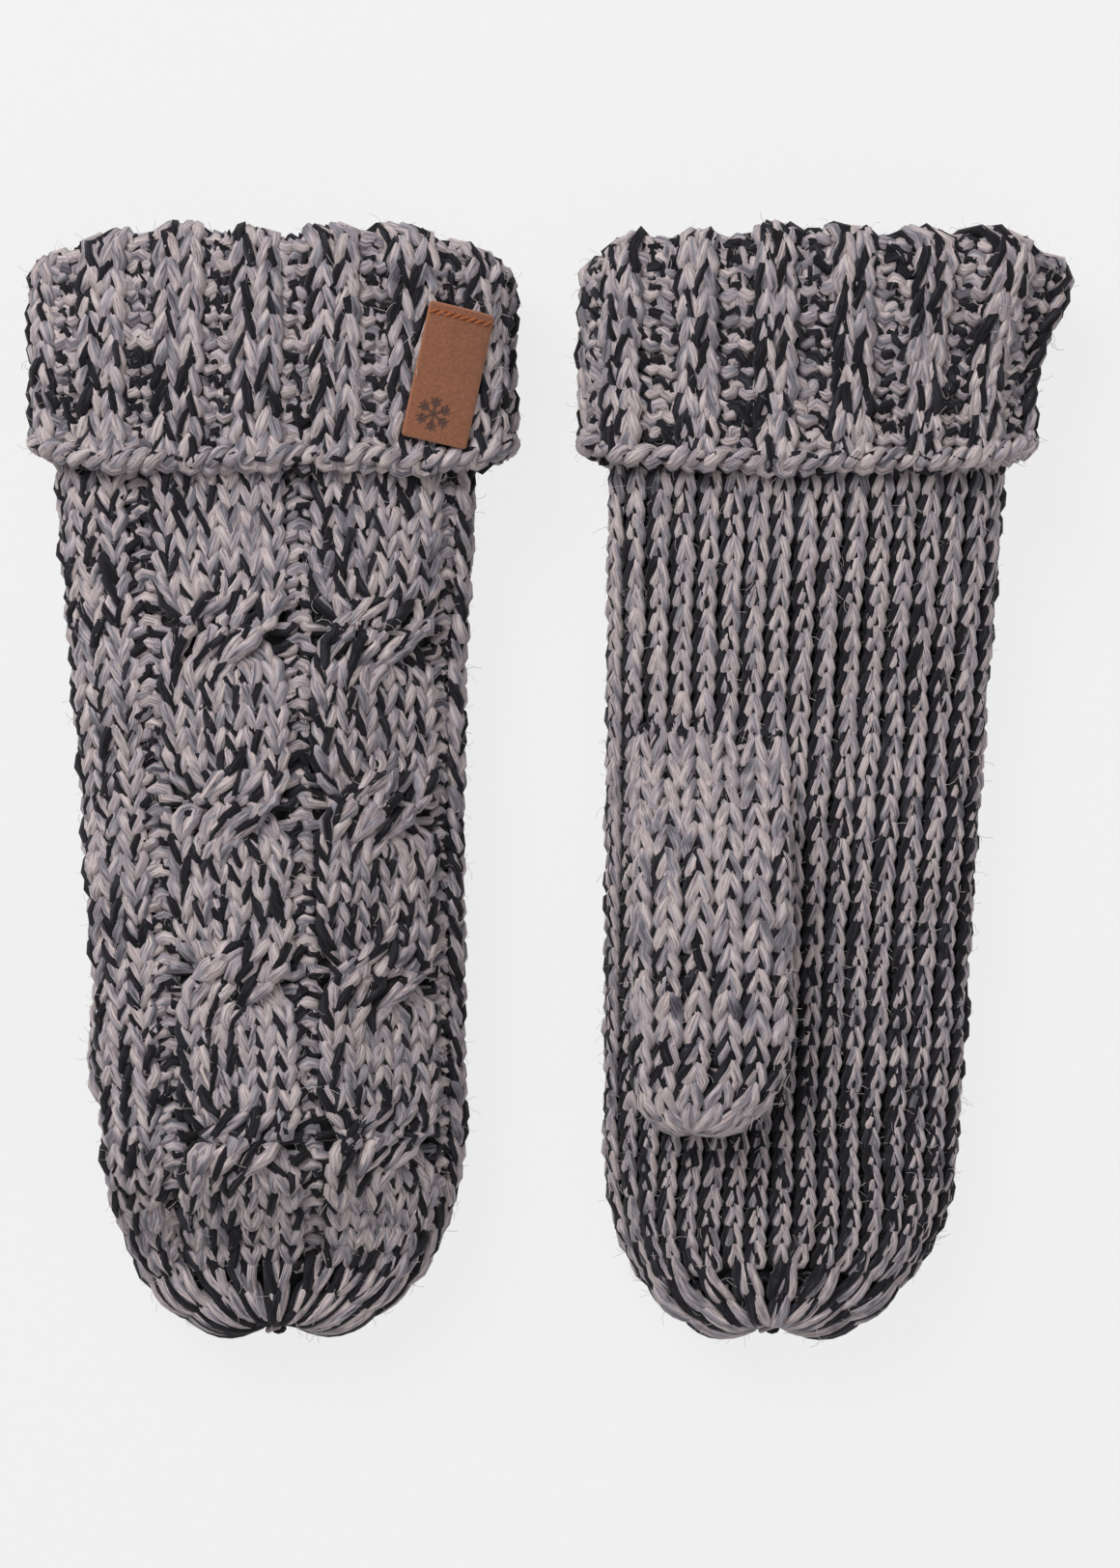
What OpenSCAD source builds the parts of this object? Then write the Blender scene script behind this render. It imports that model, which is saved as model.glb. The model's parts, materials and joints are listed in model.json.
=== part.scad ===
// A pair of knitted mittens lying flat, side by side, cuffs towards +Y and fingertips towards -Y.
// The left mitten lies palm down on its thumb, and the right one palm up with its thumb on the palm.
// +Z is up. The origin is on the surface they lie on, under the middle of the pair.

/* [Pair] */
// Length of a mitten, from the fold of the turned-up cuff to the fingertip
mitten_len = 250; // [225:1:275]
// Gap between the two cuffs
pair_gap = 15; // [8:1:40]

/* [Hand] */
// Width of the hand where it leaves the cuff
hand_w = 90; // [78:1:98]
// Width of the hand where the rounded fingertip begins
finger_w = 81; // [70:1:90]
// Thickness of the hand, both layers and the room between them
hand_t = 26; // [24:1:34]
// Length of the rounded fingertip
cap_len = 50; // [38:1:60]
// Thickness of the knitted fabric
knit_t = 4; // [3:0.25:4.5]

/* [Cuff] */
// Room between the cuff's two plies at each side
cuff_room = 5; // [4:0.5:10]
// Height of the turned-up cuff
cuff_h = 51; // [36:1:66]
// Room between the cuff's two plies above and below
ply_gap = 1; // [0.5:0.25:3]
// How far the lining's hem stays below the fold
hem_drop = 12; // [8:1:20]

/* [Thumb] */
// Length of the thumb
thumb_len = 86; // [68:1:92]
// Width of the thumb
thumb_w = 36; // [32:1:42]
// Thickness of the thumb
thumb_t = 17; // [16.5:0.5:20]
// Radius of the neck that joins the thumb to the palm
neck_r = 14; // [12:0.5:15]
// How far the left thumb lies swung out from under its hand, in degrees
left_swing = 7; // [0:1:12]
// Distance from the fingertip to the base of the thumb
thumb_base = 134; // [118:1:142]
// How far the thumb's middle lies from the hand's middle
thumb_side = 19; // [15:1:22]

/* [Lining] */
// Thickness of the fleece lining of the hand
lining_t = 1.2; // [0.8:0.1:1.6]
// Thickness of the fleece lining of the thumb
thumb_lining_t = 1; // [0.8:0.1:1.2]

/* [Label] */
// Width of the leather label
label_w = 14.5; // [10:0.5:20]
// Length of the leather label
label_l = 30.5; // [20:0.5:36]
// How far the label stays above the cuff's free edge
label_up = 1.2; // [0.5:0.1:8]
// How far the label's middle is from the side of the cuff
label_in = 14.5; // [13:0.5:40]
// Thickness of the leather
label_t = 1.2; // [0.8:0.1:2]
// How far the label leans to the right, in degrees
label_lean = 12; // [0:1:20]

/* [Yarn] */
// Diameter of the yarn in the seams and the drawn-up tips
yarn_d = 2.8; // [2:0.1:3]
// Diameter of the sewing thread
thread_d = 0.8; // [0.5:0.1:1]

/* [Hidden] */
LEFT = -1;
RIGHT = 1;
$fn = 48;

knit_colour = "#a0949a";
rib_colour = "#8f858b";
fleece_colour = "#2b2b30";
yarn_colour = "#c2b4b2";
leather_colour = "#8a5636";
thread_colour = "#4a2c1c";

around = 32;            // points round a hand section
thumb_around = 24;      // points round a thumb section
section_power = 2.6;    // roundness of a flattened hand or thumb section
cuff_power = 3;         // roundness of the flatter cuff section
cap_power = 2.3;        // roundness of the fingertip seen from above
turn_gap = 0.35;        // running clearance of the thumb's neck in the palm
lie_gap = 0.5;          // room between the thumb and the palm it lies on
cloth_gap = 0.4;        // room between the knit and its lining
foot_clip = 0.5;        // how much of the cuff's underside lies flat
join_lap = 8;           // how far the hand runs up under the cuff's edge
gather_shift = -3;      // the fingertip is drawn together off the middle, towards the thumb

cuff_edge = mitten_len - cuff_h;
cuff_w = hand_w + 2 * (cuff_room + knit_t);
cuff_t = hand_t + 2 * (ply_gap + knit_t);
join_y = cuff_edge + join_lap;
cuff_x = (pair_gap + cuff_w) / 2;
cuff_z = cuff_t / 2 - foot_clip;
thumb_y = thumb_base - neck_r;
thumb_tip_y = thumb_base - thumb_len;
lift = thumb_t + lie_gap;
seam_room = yarn_d + 2 * cloth_gap;
hem_y = mitten_len - hem_drop;
lining_tip = knit_t + seam_room;
neck_depth = knit_t + cloth_gap + lining_t + 1.4;

// Where each hand lies beside its cuff's middle, at the cuff and at the fingertip.
function axis_start(side) = side == LEFT ? -0.4 * cuff_room : -0.7 * cuff_room;
function axis_end(side) = side == LEFT ? 3 : -9;

function mix(a, b, t) = a + (b - a) * t;
function clamp01(t) = min(1, max(0, t));
function smooth(t) = let (c = clamp01(t)) c * c * (3 - 2 * c);
function along_hand(y) = clamp01((cuff_edge - y) / (cuff_edge - cap_len));
function rounded(t, n) = t >= 1 ? 1 : t <= 0 ? 0 : pow(1 - pow(1 - t, n), 1 / n);

// The hand's middle line, seen from above.
function axis_x(y, side) =
    mix(axis_start(side), axis_end(side), along_hand(y)) + gather_shift * pow(1 - clamp01(y / cap_len), 2);

// Half the width and half the thickness of the hand, taken in by an inset on each side.
function half_w(y, inset, tip) =
    (mix(hand_w, finger_w, along_hand(y)) / 2 - inset) * rounded((y - tip) / (cap_len - tip), cap_power);
function half_t(y, inset, tip) = (hand_t / 2 - inset) * rounded((y - tip) / (cap_len - tip), cap_power);

// The left hand drapes over the thumb beneath it, and comes down to the table away from it.
function over_thumb(x, y) =
    (1 - smooth((x - axis_x(y, LEFT) + thumb_side - thumb_w / 2 - 1) / (hand_w / 2)))
    * smooth((y - thumb_tip_y + 28) / 26);
function centre_z(x, y, side) =
    let (low = hand_t / 2 + (side == LEFT ? lift * over_thumb(x, y) : 0))
    mix(low, cuff_z, smooth((y - thumb_base - 6) / (cuff_edge - thumb_base - 10)));

// A point on a flattened ring of half width a and half thickness b, at an angle.
function flattened(a, b, angle, power) = [
    a * sign(cos(angle)) * pow(abs(cos(angle)), 2 / power),
    b * sign(sin(angle)) * pow(abs(sin(angle)), 2 / power)];

function hand_point(y, angle, side, inset_x, inset_z, tip) =
    let (p = flattened(half_w(y, inset_x, tip), half_t(y, inset_z, tip), angle, section_power))
    let (x = axis_x(y, side) + p[0])
    [x, y, centre_z(x, y, side) + p[1]];

// Stations from just past the tip to the mouth, close together on the rounded end. Past the first part of
// the rounded end they are the same for a shell and its lining, so that their walls run side by side.
function hand_stations(tip, mouth) = concat(
    [for (i = [1:5]) tip + (0.4 * cap_len - tip) * (1 - cos(90 * i / 5))],
    [for (i = [1:5]) cap_len * mix(0.4, 1, i / 5)],
    [for (i = [1:12]) mix(cap_len, cuff_edge, i / 12)],
    [mouth]);

// Faces of a closed bag: rings go up the outside from its tip, over the rim and down the inside.
function bag_faces(rings, n, first, last) = concat(
    [for (i = [0:n - 1]) [first, i, (i + 1) % n]],
    [for (r = [0:rings - 2], i = [0:n - 1]) [r * n + i, (r + 1) * n + i, (r + 1) * n + (i + 1) % n]],
    [for (r = [0:rings - 2], i = [0:n - 1]) [r * n + i, (r + 1) * n + (i + 1) % n, r * n + (i + 1) % n]],
    [for (i = [0:n - 1]) [last, (rings - 1) * n + (i + 1) % n, (rings - 1) * n + i]]);

module bag(outer_rings, inner_rings, n, outer_pole, inner_pole) {
    rings = concat(outer_rings, [for (i = [len(inner_rings) - 1:-1:0]) inner_rings[i]]);
    points = concat([for (ring = rings, p = ring) p], [outer_pole, inner_pole]);
    count = len(rings) * n;
    polyhedron(points, bag_faces(len(rings), n, count, count + 1), convexity = 8);
}

// A knitted or sewn hand, open at the mouth and closed at the tip.
module hand_bag(side, inset_x, inset_z, tip, wall, mouth) {
    outer = hand_stations(tip, mouth);
    inner = hand_stations(tip + wall, mouth);
    bag(
        [for (y = outer) [for (i = [0:around - 1]) hand_point(y, 360 * i / around, side, inset_x, inset_z, tip)]],
        [for (y = inner) [for (i = [0:around - 1])
            hand_point(y, 360 * i / around, side, inset_x + wall, inset_z + wall, tip + wall)]],
        around,
        [axis_x(tip, side), tip, centre_z(axis_x(tip, side), tip, side)],
        [axis_x(tip + wall, side), tip + wall, centre_z(axis_x(tip + wall, side), tip + wall, side)]);
}

// Where the thumb's neck turns in the palm.
function neck_x(side) = axis_x(thumb_y, side) - thumb_side;

// The plane that the palm's crown reaches, and which way the thumb lies from it.
function palm_z(side) = side == LEFT ? lift : hand_t;
module on_palm(side) {
    translate([neck_x(side), thumb_y, palm_z(side)]) mirror([0, 0, side == LEFT ? 1 : 0]) children();
}
module on_thumb(side) {
    on_palm(side) rotate([0, 0, side == LEFT ? -left_swing : 0]) children();
}
module neck_hole(side) {
    on_palm(side) translate([0, 0, -hand_t / 2]) cylinder(r = neck_r + turn_gap, h = hand_t);
}

module hand_shell(side) {
    color(knit_colour) difference() {
        hand_bag(side, 0, 0, 0, knit_t, join_y);
        neck_hole(side);
        tip_recess(side);
    }
}

module hand_lining(side) {
    color(fleece_colour) difference() {
        hand_bag(side, knit_t + seam_room, knit_t + cloth_gap, lining_tip, lining_t, hem_y);
        neck_hole(side);
    }
}

// The drawn-up fingertip: a small ring of yarn in a recess at the tip.
gather_r = yarn_d * 0.8;
gather_yarn_r = yarn_d * 0.4;
recess_r = gather_r + gather_yarn_r + 0.3;
recess_depth = 2 * gather_yarn_r + 0.4;
module at_tip(side) {
    translate([axis_x(0, side), 0, centre_z(axis_x(0, side), 0, side)]) rotate([-90, 0, 0]) children();
}
module tip_recess(side) {
    at_tip(side) translate([0, 0, -1]) cylinder(r = recess_r, h = recess_depth + 1);
}
module yarn_ring(ring_r, yarn_r) {
    rotate_extrude() translate([ring_r, 0]) circle(r = yarn_r, $fn = 24);
}
module tip_gather(side) {
    color(yarn_colour) at_tip(side) translate([0, 0, recess_depth - gather_yarn_r - 0.2])
        yarn_ring(gather_r, gather_yarn_r);
}

// The thumb, with its neck's middle at the origin and the palm's crown at z = 0, pointing to -Y.
// Its tube runs from the tip, then fans round a bend at the crotch into the round neck.
thumb_cap = thumb_w * 0.62;
thumb_reach = thumb_len - neck_r;
thumb_z = lie_gap + thumb_t / 2;
bend_r = lie_gap * 0.8;
bend_y = -neck_r - bend_r;
bend_z = lie_gap - bend_r;
cap_stations = 6;
tube_stations = 3;
bend_stations = 8;
function thumb_height(turn) =
    let (level = turn < 80 ? (thumb_t + bend_r) / cos(turn) - bend_r : 2 * neck_r)
    min(level, mix(thumb_t, 2 * neck_r, smooth(turn / 90)));
function thumb_half_w(turn) = mix(thumb_w / 2, neck_r, smooth(turn / 90));
function bend_power(turn) = mix(section_power, 2, clamp01(turn / 60));

function cap_ring(y, inset) =
    let (size = rounded((y + thumb_reach - inset) / (thumb_cap - inset), cap_power))
    [for (i = [0:thumb_around - 1])
        let (p = flattened((thumb_w / 2 - inset) * size, (thumb_t / 2 - inset) * size,
            360 * i / thumb_around, section_power))
        [p[0], y, thumb_z + p[1]]];
function bend_ring(turn, inset) =
    let (half = thumb_height(turn) / 2, low = bend_r)
    [for (i = [0:thumb_around - 1])
        let (p = flattened(thumb_half_w(turn) - inset, half - inset, 360 * i / thumb_around, bend_power(turn)))
        [p[0], bend_y + (low + half + p[1]) * sin(turn), bend_z + (low + half + p[1]) * cos(turn)]];
function neck_ring(z, inset) = [for (i = [0:thumb_around - 1])
    [(neck_r - inset) * cos(360 * i / thumb_around), (neck_r - inset) * sin(360 * i / thumb_around), z]];
function thumb_rings(inset) = concat(
    [for (i = [1:cap_stations])
        cap_ring(inset - thumb_reach + (thumb_cap - inset) * (1 - cos(90 * i / cap_stations)), inset)],
    [for (i = [1:tube_stations]) cap_ring(mix(thumb_cap - thumb_reach, bend_y, i / (tube_stations + 1)), inset)],
    [for (i = [0:bend_stations]) bend_ring(90 * i / bend_stations, inset)],
    [neck_ring(-neck_depth, inset)]);
module thumb_bag(inset, wall) {
    bag(thumb_rings(inset), thumb_rings(inset + wall), thumb_around,
        [0, inset - thumb_reach, thumb_z], [0, inset + wall - thumb_reach, thumb_z]);
}
thumb_gather_r = yarn_d * 0.6;
thumb_gather_yarn_r = yarn_d * 0.32;
thumb_recess_r = thumb_gather_r + thumb_gather_yarn_r + 0.25;
thumb_recess_depth = 2 * thumb_gather_yarn_r + 0.35;
module at_thumb_tip() {
    translate([0, -thumb_reach, thumb_z]) rotate([-90, 0, 0]) children();
}
module thumb_shell(side) {
    color(knit_colour) on_thumb(side) difference() {
        thumb_bag(0, knit_t);
        at_thumb_tip() translate([0, 0, -1]) cylinder(r = thumb_recess_r, h = thumb_recess_depth + 1);
    }
}
module thumb_lining(side) {
    color(fleece_colour) on_thumb(side) thumb_bag(knit_t + 0.3, thumb_lining_t);
}
module thumb_gather(side) {
    color(yarn_colour) on_thumb(side) at_thumb_tip()
        translate([0, 0, thumb_recess_depth - thumb_gather_yarn_r - 0.15])
        yarn_ring(thumb_gather_r, thumb_gather_yarn_r);
}

// The run of yarn round the back of the thumb's base, where its stitches were picked up.
thumb_seam_yarn_r = yarn_d * 0.32;
thumb_seam_r = neck_r + thumb_seam_yarn_r + 0.5;
thumb_seam_arc = 230;
module thumb_seam(side) {
    color(yarn_colour) on_thumb(side) translate([0, 0, thumb_seam_yarn_r + 0.3])
        rotate([0, 0, 90 - thumb_seam_arc / 2]) rotate_extrude(angle = thumb_seam_arc)
        translate([thumb_seam_r, 0]) circle(r = thumb_seam_yarn_r, $fn = 24);
}

// The seam inside the little-finger edge, a run of yarn from the fingertip to the cuff.
seam_sides = 8;
seam_start = cap_len * 0.36;
seam_steps = 24;
function seam_middle(y, side) =
    let (x = axis_x(y, side) + half_w(y, knit_t, knit_t) - yarn_d / 2 - cloth_gap) [x, y, centre_z(x, y, side)];
module side_seam(side) {
    rings = [for (i = [0:seam_steps])
        let (m = seam_middle(mix(seam_start, join_y - 2, i / seam_steps), side))
        [for (k = [0:seam_sides - 1])
            m + yarn_d / 2 * [cos(360 * k / seam_sides), 0, sin(360 * k / seam_sides)]]];
    ends = [seam_middle(seam_start, side), seam_middle(join_y - 2, side)];
    n = seam_sides;
    color(yarn_colour) polyhedron(
        concat([for (ring = rings, p = ring) p], ends),
        bag_faces(len(rings), n, len(rings) * n, len(rings) * n + 1), convexity = 4);
}

// The cuff, seen from its end: a flattened ring, with its underside flat where it rests.
module cuff_outline(a, b, grow) {
    polygon([for (i = [0:2 * around - 1])
        let (p = flattened(a + grow, b + grow, 180 * i / around, cuff_power)) [p[0], max(p[1], -cuff_z - grow)]]);
}
module hand_outline(inset) {
    polygon([for (i = [0:around - 1])
        flattened(hand_w / 2 - inset, hand_t / 2 - inset, 360 * i / around, section_power)]);
}
module along_y(from, to) {
    translate([0, to, cuff_z]) rotate([90, 0, 0]) linear_extrude(to - from) children();
}
// The inner ply runs up from the hand, turns over at the fold and comes down outside as the outer ply.
module cuff(side) {
    color(rib_colour) translate([0, 0, 0]) {
        along_y(join_y, mitten_len) difference() {
            translate([axis_start(side), 0]) hand_outline(0);
            translate([axis_start(side), 0]) hand_outline(knit_t);
        }
        along_y(cuff_edge, mitten_len) difference() {
            cuff_outline(cuff_w / 2, cuff_t / 2, 0);
            cuff_outline(cuff_w / 2, cuff_t / 2, -knit_t);
        }
        along_y(mitten_len - knit_t, mitten_len) difference() {
            cuff_outline(cuff_w / 2, cuff_t / 2, 0);
            translate([axis_start(side), 0]) hand_outline(knit_t);
        }
    }
}

// Stitches that catch the lining's hem to the cuff's inner ply.
hem_stitches = 20;
hem_stitch_l = 5;
module hem_thread(side) {
    color(thread_colour) for (i = [0:hem_stitches - 1]) {
        angle = 360 * (i + 0.5) / hem_stitches;
        p = flattened(hand_w / 2 - knit_t - seam_room - lining_t, hand_t / 2 - knit_t - cloth_gap - lining_t,
            angle, section_power);
        translate([axis_start(side) + p[0], hem_y - hem_stitch_l / 2, cuff_z + p[1]])
            rotate([-90, 0, 0]) cylinder(d = thread_d, h = hem_stitch_l, $fn = 16);
    }
}

// The label lies on the left cuff's outer ply and follows its curve.
label_x = cuff_w / 2 - label_in;
label_y = cuff_edge + label_up + (label_l * cos(label_lean) + label_w * sin(label_lean)) / 2;
label_corner = 0.8;
module on_label() {
    translate([label_x, label_y, 0]) rotate([0, 0, -label_lean]) children();
}
module label_leather() {
    color(leather_colour) intersection() {
        on_label() linear_extrude(cuff_t * 2)
            translate([-label_w / 2, -label_l / 2]) square([label_w, label_l]);
        translate([0, 0, cuff_z]) rotate([90, 0, 0])
            translate([0, 0, -mitten_len]) linear_extrude(2 * cuff_h) difference() {
                cuff_outline(cuff_w / 2, cuff_t / 2, label_t + 0.1);
                cuff_outline(cuff_w / 2, cuff_t / 2, 0.1);
                translate([-cuff_w, -cuff_t]) square([2 * cuff_w, cuff_t]);
            }
    }
}
function cuff_top(x) = cuff_z + (cuff_t / 2) * pow(1 - pow(abs(x) / (cuff_w / 2), cuff_power), 1 / cuff_power);
label_stitch_count = 8;
label_stitch_l = 1.8;
module label_thread() {
    color(thread_colour) for (i = [0:label_stitch_count - 1]) {
        across = label_w * ((i + 0.5) / label_stitch_count - 0.5);
        down = label_l / 2 - 2.2;
        x = label_x + across * cos(label_lean) + down * sin(label_lean);
        y = label_y - across * sin(label_lean) + down * cos(label_lean);
        slope = atan((cuff_top(x + 0.5) - cuff_top(x - 0.5)));
        translate([x, y, cuff_top(x) + label_t + 0.25]) rotate([0, -slope, 0])
            rotate([0, 0, 35 - label_lean]) rotate([0, 90, 0])
            cylinder(d = thread_d, h = label_stitch_l, center = true, $fn = 16);
    }
}

module place(side) {
    translate([side * cuff_x, -mitten_len / 2, 0]) children();
}

place(LEFT) hand_shell(LEFT);  // left_hand_shell
place(LEFT) cuff(LEFT);  // left_cuff
place(LEFT) thumb_shell(LEFT);  // left_thumb_shell
place(LEFT) hand_lining(LEFT);  // left_hand_lining
place(LEFT) thumb_lining(LEFT);  // left_thumb_lining
place(LEFT) tip_gather(LEFT);  // left_tip_gather
place(LEFT) thumb_gather(LEFT);  // left_thumb_gather
place(LEFT) side_seam(LEFT);  // left_side_seam
place(LEFT) thumb_seam(LEFT);  // left_thumb_seam
place(LEFT) hem_thread(LEFT);  // left_hem_stitches
place(RIGHT) hand_shell(RIGHT);  // right_hand_shell
place(RIGHT) cuff(RIGHT);  // right_cuff
place(RIGHT) thumb_shell(RIGHT);  // right_thumb_shell
place(RIGHT) hand_lining(RIGHT);  // right_hand_lining
place(RIGHT) thumb_lining(RIGHT);  // right_thumb_lining
place(RIGHT) tip_gather(RIGHT);  // right_tip_gather
place(RIGHT) thumb_gather(RIGHT);  // right_thumb_gather
place(RIGHT) side_seam(RIGHT);  // right_side_seam
place(RIGHT) thumb_seam(RIGHT);  // right_thumb_seam
place(RIGHT) hem_thread(RIGHT);  // right_hem_stitches
place(LEFT) label_leather();  // leather_label
place(LEFT) label_thread();  // label_stitches
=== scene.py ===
import functools
import json
import math

import bpy
import numpy as np
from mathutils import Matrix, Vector

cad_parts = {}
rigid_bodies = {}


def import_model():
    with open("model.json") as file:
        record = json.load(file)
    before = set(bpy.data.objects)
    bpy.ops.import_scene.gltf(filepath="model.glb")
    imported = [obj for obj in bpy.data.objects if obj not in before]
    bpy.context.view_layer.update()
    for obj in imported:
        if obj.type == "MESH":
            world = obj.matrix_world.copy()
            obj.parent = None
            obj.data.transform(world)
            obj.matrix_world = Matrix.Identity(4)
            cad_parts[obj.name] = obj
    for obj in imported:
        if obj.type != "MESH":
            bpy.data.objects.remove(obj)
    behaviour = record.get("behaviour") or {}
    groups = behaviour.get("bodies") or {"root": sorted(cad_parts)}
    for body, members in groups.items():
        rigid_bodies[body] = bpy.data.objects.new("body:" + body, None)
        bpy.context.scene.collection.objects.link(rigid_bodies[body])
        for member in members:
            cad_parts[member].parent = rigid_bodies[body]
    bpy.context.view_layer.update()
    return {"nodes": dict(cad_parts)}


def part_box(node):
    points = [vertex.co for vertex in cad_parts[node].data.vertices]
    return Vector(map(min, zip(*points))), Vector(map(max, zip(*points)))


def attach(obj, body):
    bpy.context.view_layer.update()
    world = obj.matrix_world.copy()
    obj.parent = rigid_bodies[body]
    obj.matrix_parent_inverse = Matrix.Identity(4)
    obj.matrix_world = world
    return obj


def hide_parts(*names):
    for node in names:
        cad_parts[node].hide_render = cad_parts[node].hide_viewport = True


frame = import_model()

bl_info = {
    "name": "Knitted Mittens",
    "version": (1, 0, 0),
    "blender": (4, 5, 0),
    "location": "3D View > Sidebar > Mittens",
    "description": "Builds a pair of marled, cable-knit mittens stitch by stitch round their packed frame",
    "category": "Add Mesh",
}

# ---------------------------------------------------------------------------------------------
# Sizes, in millimetres in the row frame: +Y to the cuffs, -Y to the fingertips, +Z up.
# ---------------------------------------------------------------------------------------------

LEFT, RIGHT = -1, 1
SIDE_NAME = {LEFT: "left", RIGHT: "right"}
MITTEN_LEN = 250.0      # fold of the cuff to the fingertip
CUFF_EDGE = 199.0       # free edge of the turned-up cuff, from the fingertip
CUFF_X = 61.5           # middle of each cuff
CUFF_Z = 17.5           # height of each cuff's middle
HAND_HALF_W, FINGER_HALF_W, HAND_HALF_T = 45.0, 40.5, 13.0
CUFF_HALF_W, CUFF_HALF_T = 54.0, 18.0
CAP = 50.0              # length of the rounded fingertip
THUMB_BASE, THUMB_SIDE, NECK_R = 134.0, 19.0, 14.0
THUMB_LEN, THUMB_HALF_W, THUMB_T = 86.0, 18.0, 17.0
THUMB_TIP = THUMB_BASE - THUMB_LEN
LEFT_SWING = math.radians(7)
LIE_GAP = 0.5
LIFT = THUMB_T + LIE_GAP
# The middle of the yarn lies this far inside the fabric's outer face.
YARN_IN, THUMB_YARN_IN = 2.3, 1.9
SECTION_POWER, CUFF_POWER, CAP_POWER = 2.6, 3.0, 2.3

MAP_LENGTH, MAP_LANES = 60.0, 16        # the yarn's pattern: millimetres of yarn across it, and plies up it

CABLE_ROWS = (8.0, 16.0, 24.0, 32.0)    # rows where the cables cross, down from the cuff's edge
PALM_COLUMNS = 17
# Widths of the back's columns from the thumb's edge, with the kind of stitch in each.
BACK_WIDTHS = (6.3, 6.3, 6.3, 6.6) + (4.85,) * 6 + (6.6,) + (4.75,) * 6 + (5.0, 5.5)
BACK_KINDS = "kkkpccccccpccccccpk"     # k knit, p purl, c knit in a cable
PALM_KINDS = "s" * PALM_COLUMNS


def mix(a, b, t):
    return a + (b - a) * t


def smooth(t):
    t = np.clip(t, 0, 1)
    return t * t * (3 - 2 * t)


def signed_power(t, n):
    return np.sign(t) * np.abs(t) ** n


def arch(t, n):
    """The height of a flattened arch at t across it: 1 in the middle and 0 at 1 and -1."""
    return np.clip(1 - np.abs(t) ** n, 0, 1) ** (1 / n)


def unit(a):
    return a / (np.linalg.norm(a, axis=-1, keepdims=True) + 1e-12)


def turned(x, y, angle):
    c, s = math.cos(angle), math.sin(angle)
    return x * c - y * s, x * s + y * c


def shares(x, y):
    """How far along an outline each of its points lies, from 0 to 1."""
    step = np.hypot(np.diff(x), np.diff(y))
    return np.concatenate([[0], np.cumsum(step)]) / step.sum()


def drift(x, y, seed, scale=1.0):
    """Smooth, repeatable unevenness between about -1 and 1, as hand-fed yarn has."""
    rng = np.random.default_rng(seed)
    total = np.zeros(np.broadcast(x, y).shape)
    for k in range(6):
        fx, fy = rng.normal(0, 1, 2) * scale
        total += np.sin(fx * x + fy * y + rng.uniform(0, 2 * math.pi)) / 2.5
    return total


# In these, y is the distance from the fingertip, and x is measured from the cuff's middle.


def along_hand(y):
    """0 at the cuff's free edge and 1 where the fingertip starts to round."""
    return np.clip((CUFF_EDGE - y) / (CUFF_EDGE - CAP), 0, 1)


def axis_x(y, side):
    """The hand's middle line, which leans a little and bends over at the tip."""
    start, end = (-2.0, 3.0) if side == LEFT else (-3.5, -9.0)
    return mix(start, end, along_hand(y)) - 3.0 * (1 - np.clip(y / CAP, 0, 1)) ** 2


def over_thumb(x, y):
    """How far the left hand is held up by the thumb under it: 1 over the thumb, falling to 0 beside and past it."""
    sideways = (x - axis_x(y, LEFT) + THUMB_SIDE - THUMB_HALF_W - 1) / HAND_HALF_W
    return (1 - smooth(sideways)) * smooth((y - THUMB_TIP + 28) / 26)


def centre_z(x, y, side):
    """The height of the hand's middle, rising to the cuff's."""
    low = HAND_HALF_T + (LIFT * over_thumb(x, y) if side == LEFT else 0)
    return mix(low, CUFF_Z, smooth((y - THUMB_BASE - 6) / (CUFF_EDGE - THUMB_BASE - 10)))


def ring_table(a, b, power):
    """The flattened ring's shape against the share of its length, from -X over the top and back underneath."""
    angle = math.pi - np.linspace(0, 2 * math.pi, 1441)
    x, z = signed_power(np.cos(angle), 2 / power), signed_power(np.sin(angle), 2 / power)
    return shares(x * a, z * b), x, z


def ring_at(table, share):
    t = np.mod(share, 1)
    return np.interp(t, table[0], table[1]), np.interp(t, table[0], table[2])


HAND_RING = ring_table(HAND_HALF_W - YARN_IN, HAND_HALF_T - YARN_IN, SECTION_POWER)
CUFF_RING = ring_table(CUFF_HALF_W - YARN_IN, CUFF_HALF_T - YARN_IN, CUFF_POWER)
THUMB_RING = ring_table(THUMB_HALF_W - THUMB_YARN_IN, THUMB_T / 2 - THUMB_YARN_IN, SECTION_POWER)


def cap_outline_table(a, length):
    """The rounded tip's outline against the share of its length from the very tip: across, then along."""
    angle = np.linspace(0, math.pi / 2, 721)
    across = np.sin(angle) ** (2 / CAP_POWER)
    along = 1 - np.cos(angle) ** (2 / CAP_POWER)
    return shares(across * a, along * length), across, along


def cap_point(tau, xi, a, length, table):
    """Where a column at xi across the tube comes to in the rounded tip, seen flat. tau is 1 where the rounding
    begins and 0 at the very tip."""
    g = tau * (1.315 - 0.315 * tau)
    across, along = np.interp(g, table[0], table[1]), np.interp(g, table[0], table[2])
    x = across * a * mix(np.sin(xi * math.pi / 2), xi, smooth(tau))
    y = along * length + (length * tau - along * length) * np.cos(xi * math.pi / 2)
    return x, y


def cap_depth(x, y, a, b, length):
    """Half the rounded tip's thickness at a point seen flat, on a tube of half width a and half thickness b."""
    shrink = arch(1 - np.clip(y / length, 0, 1), CAP_POWER)
    return b * shrink * arch(x / (a * shrink + 1e-9), SECTION_POWER)


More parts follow.
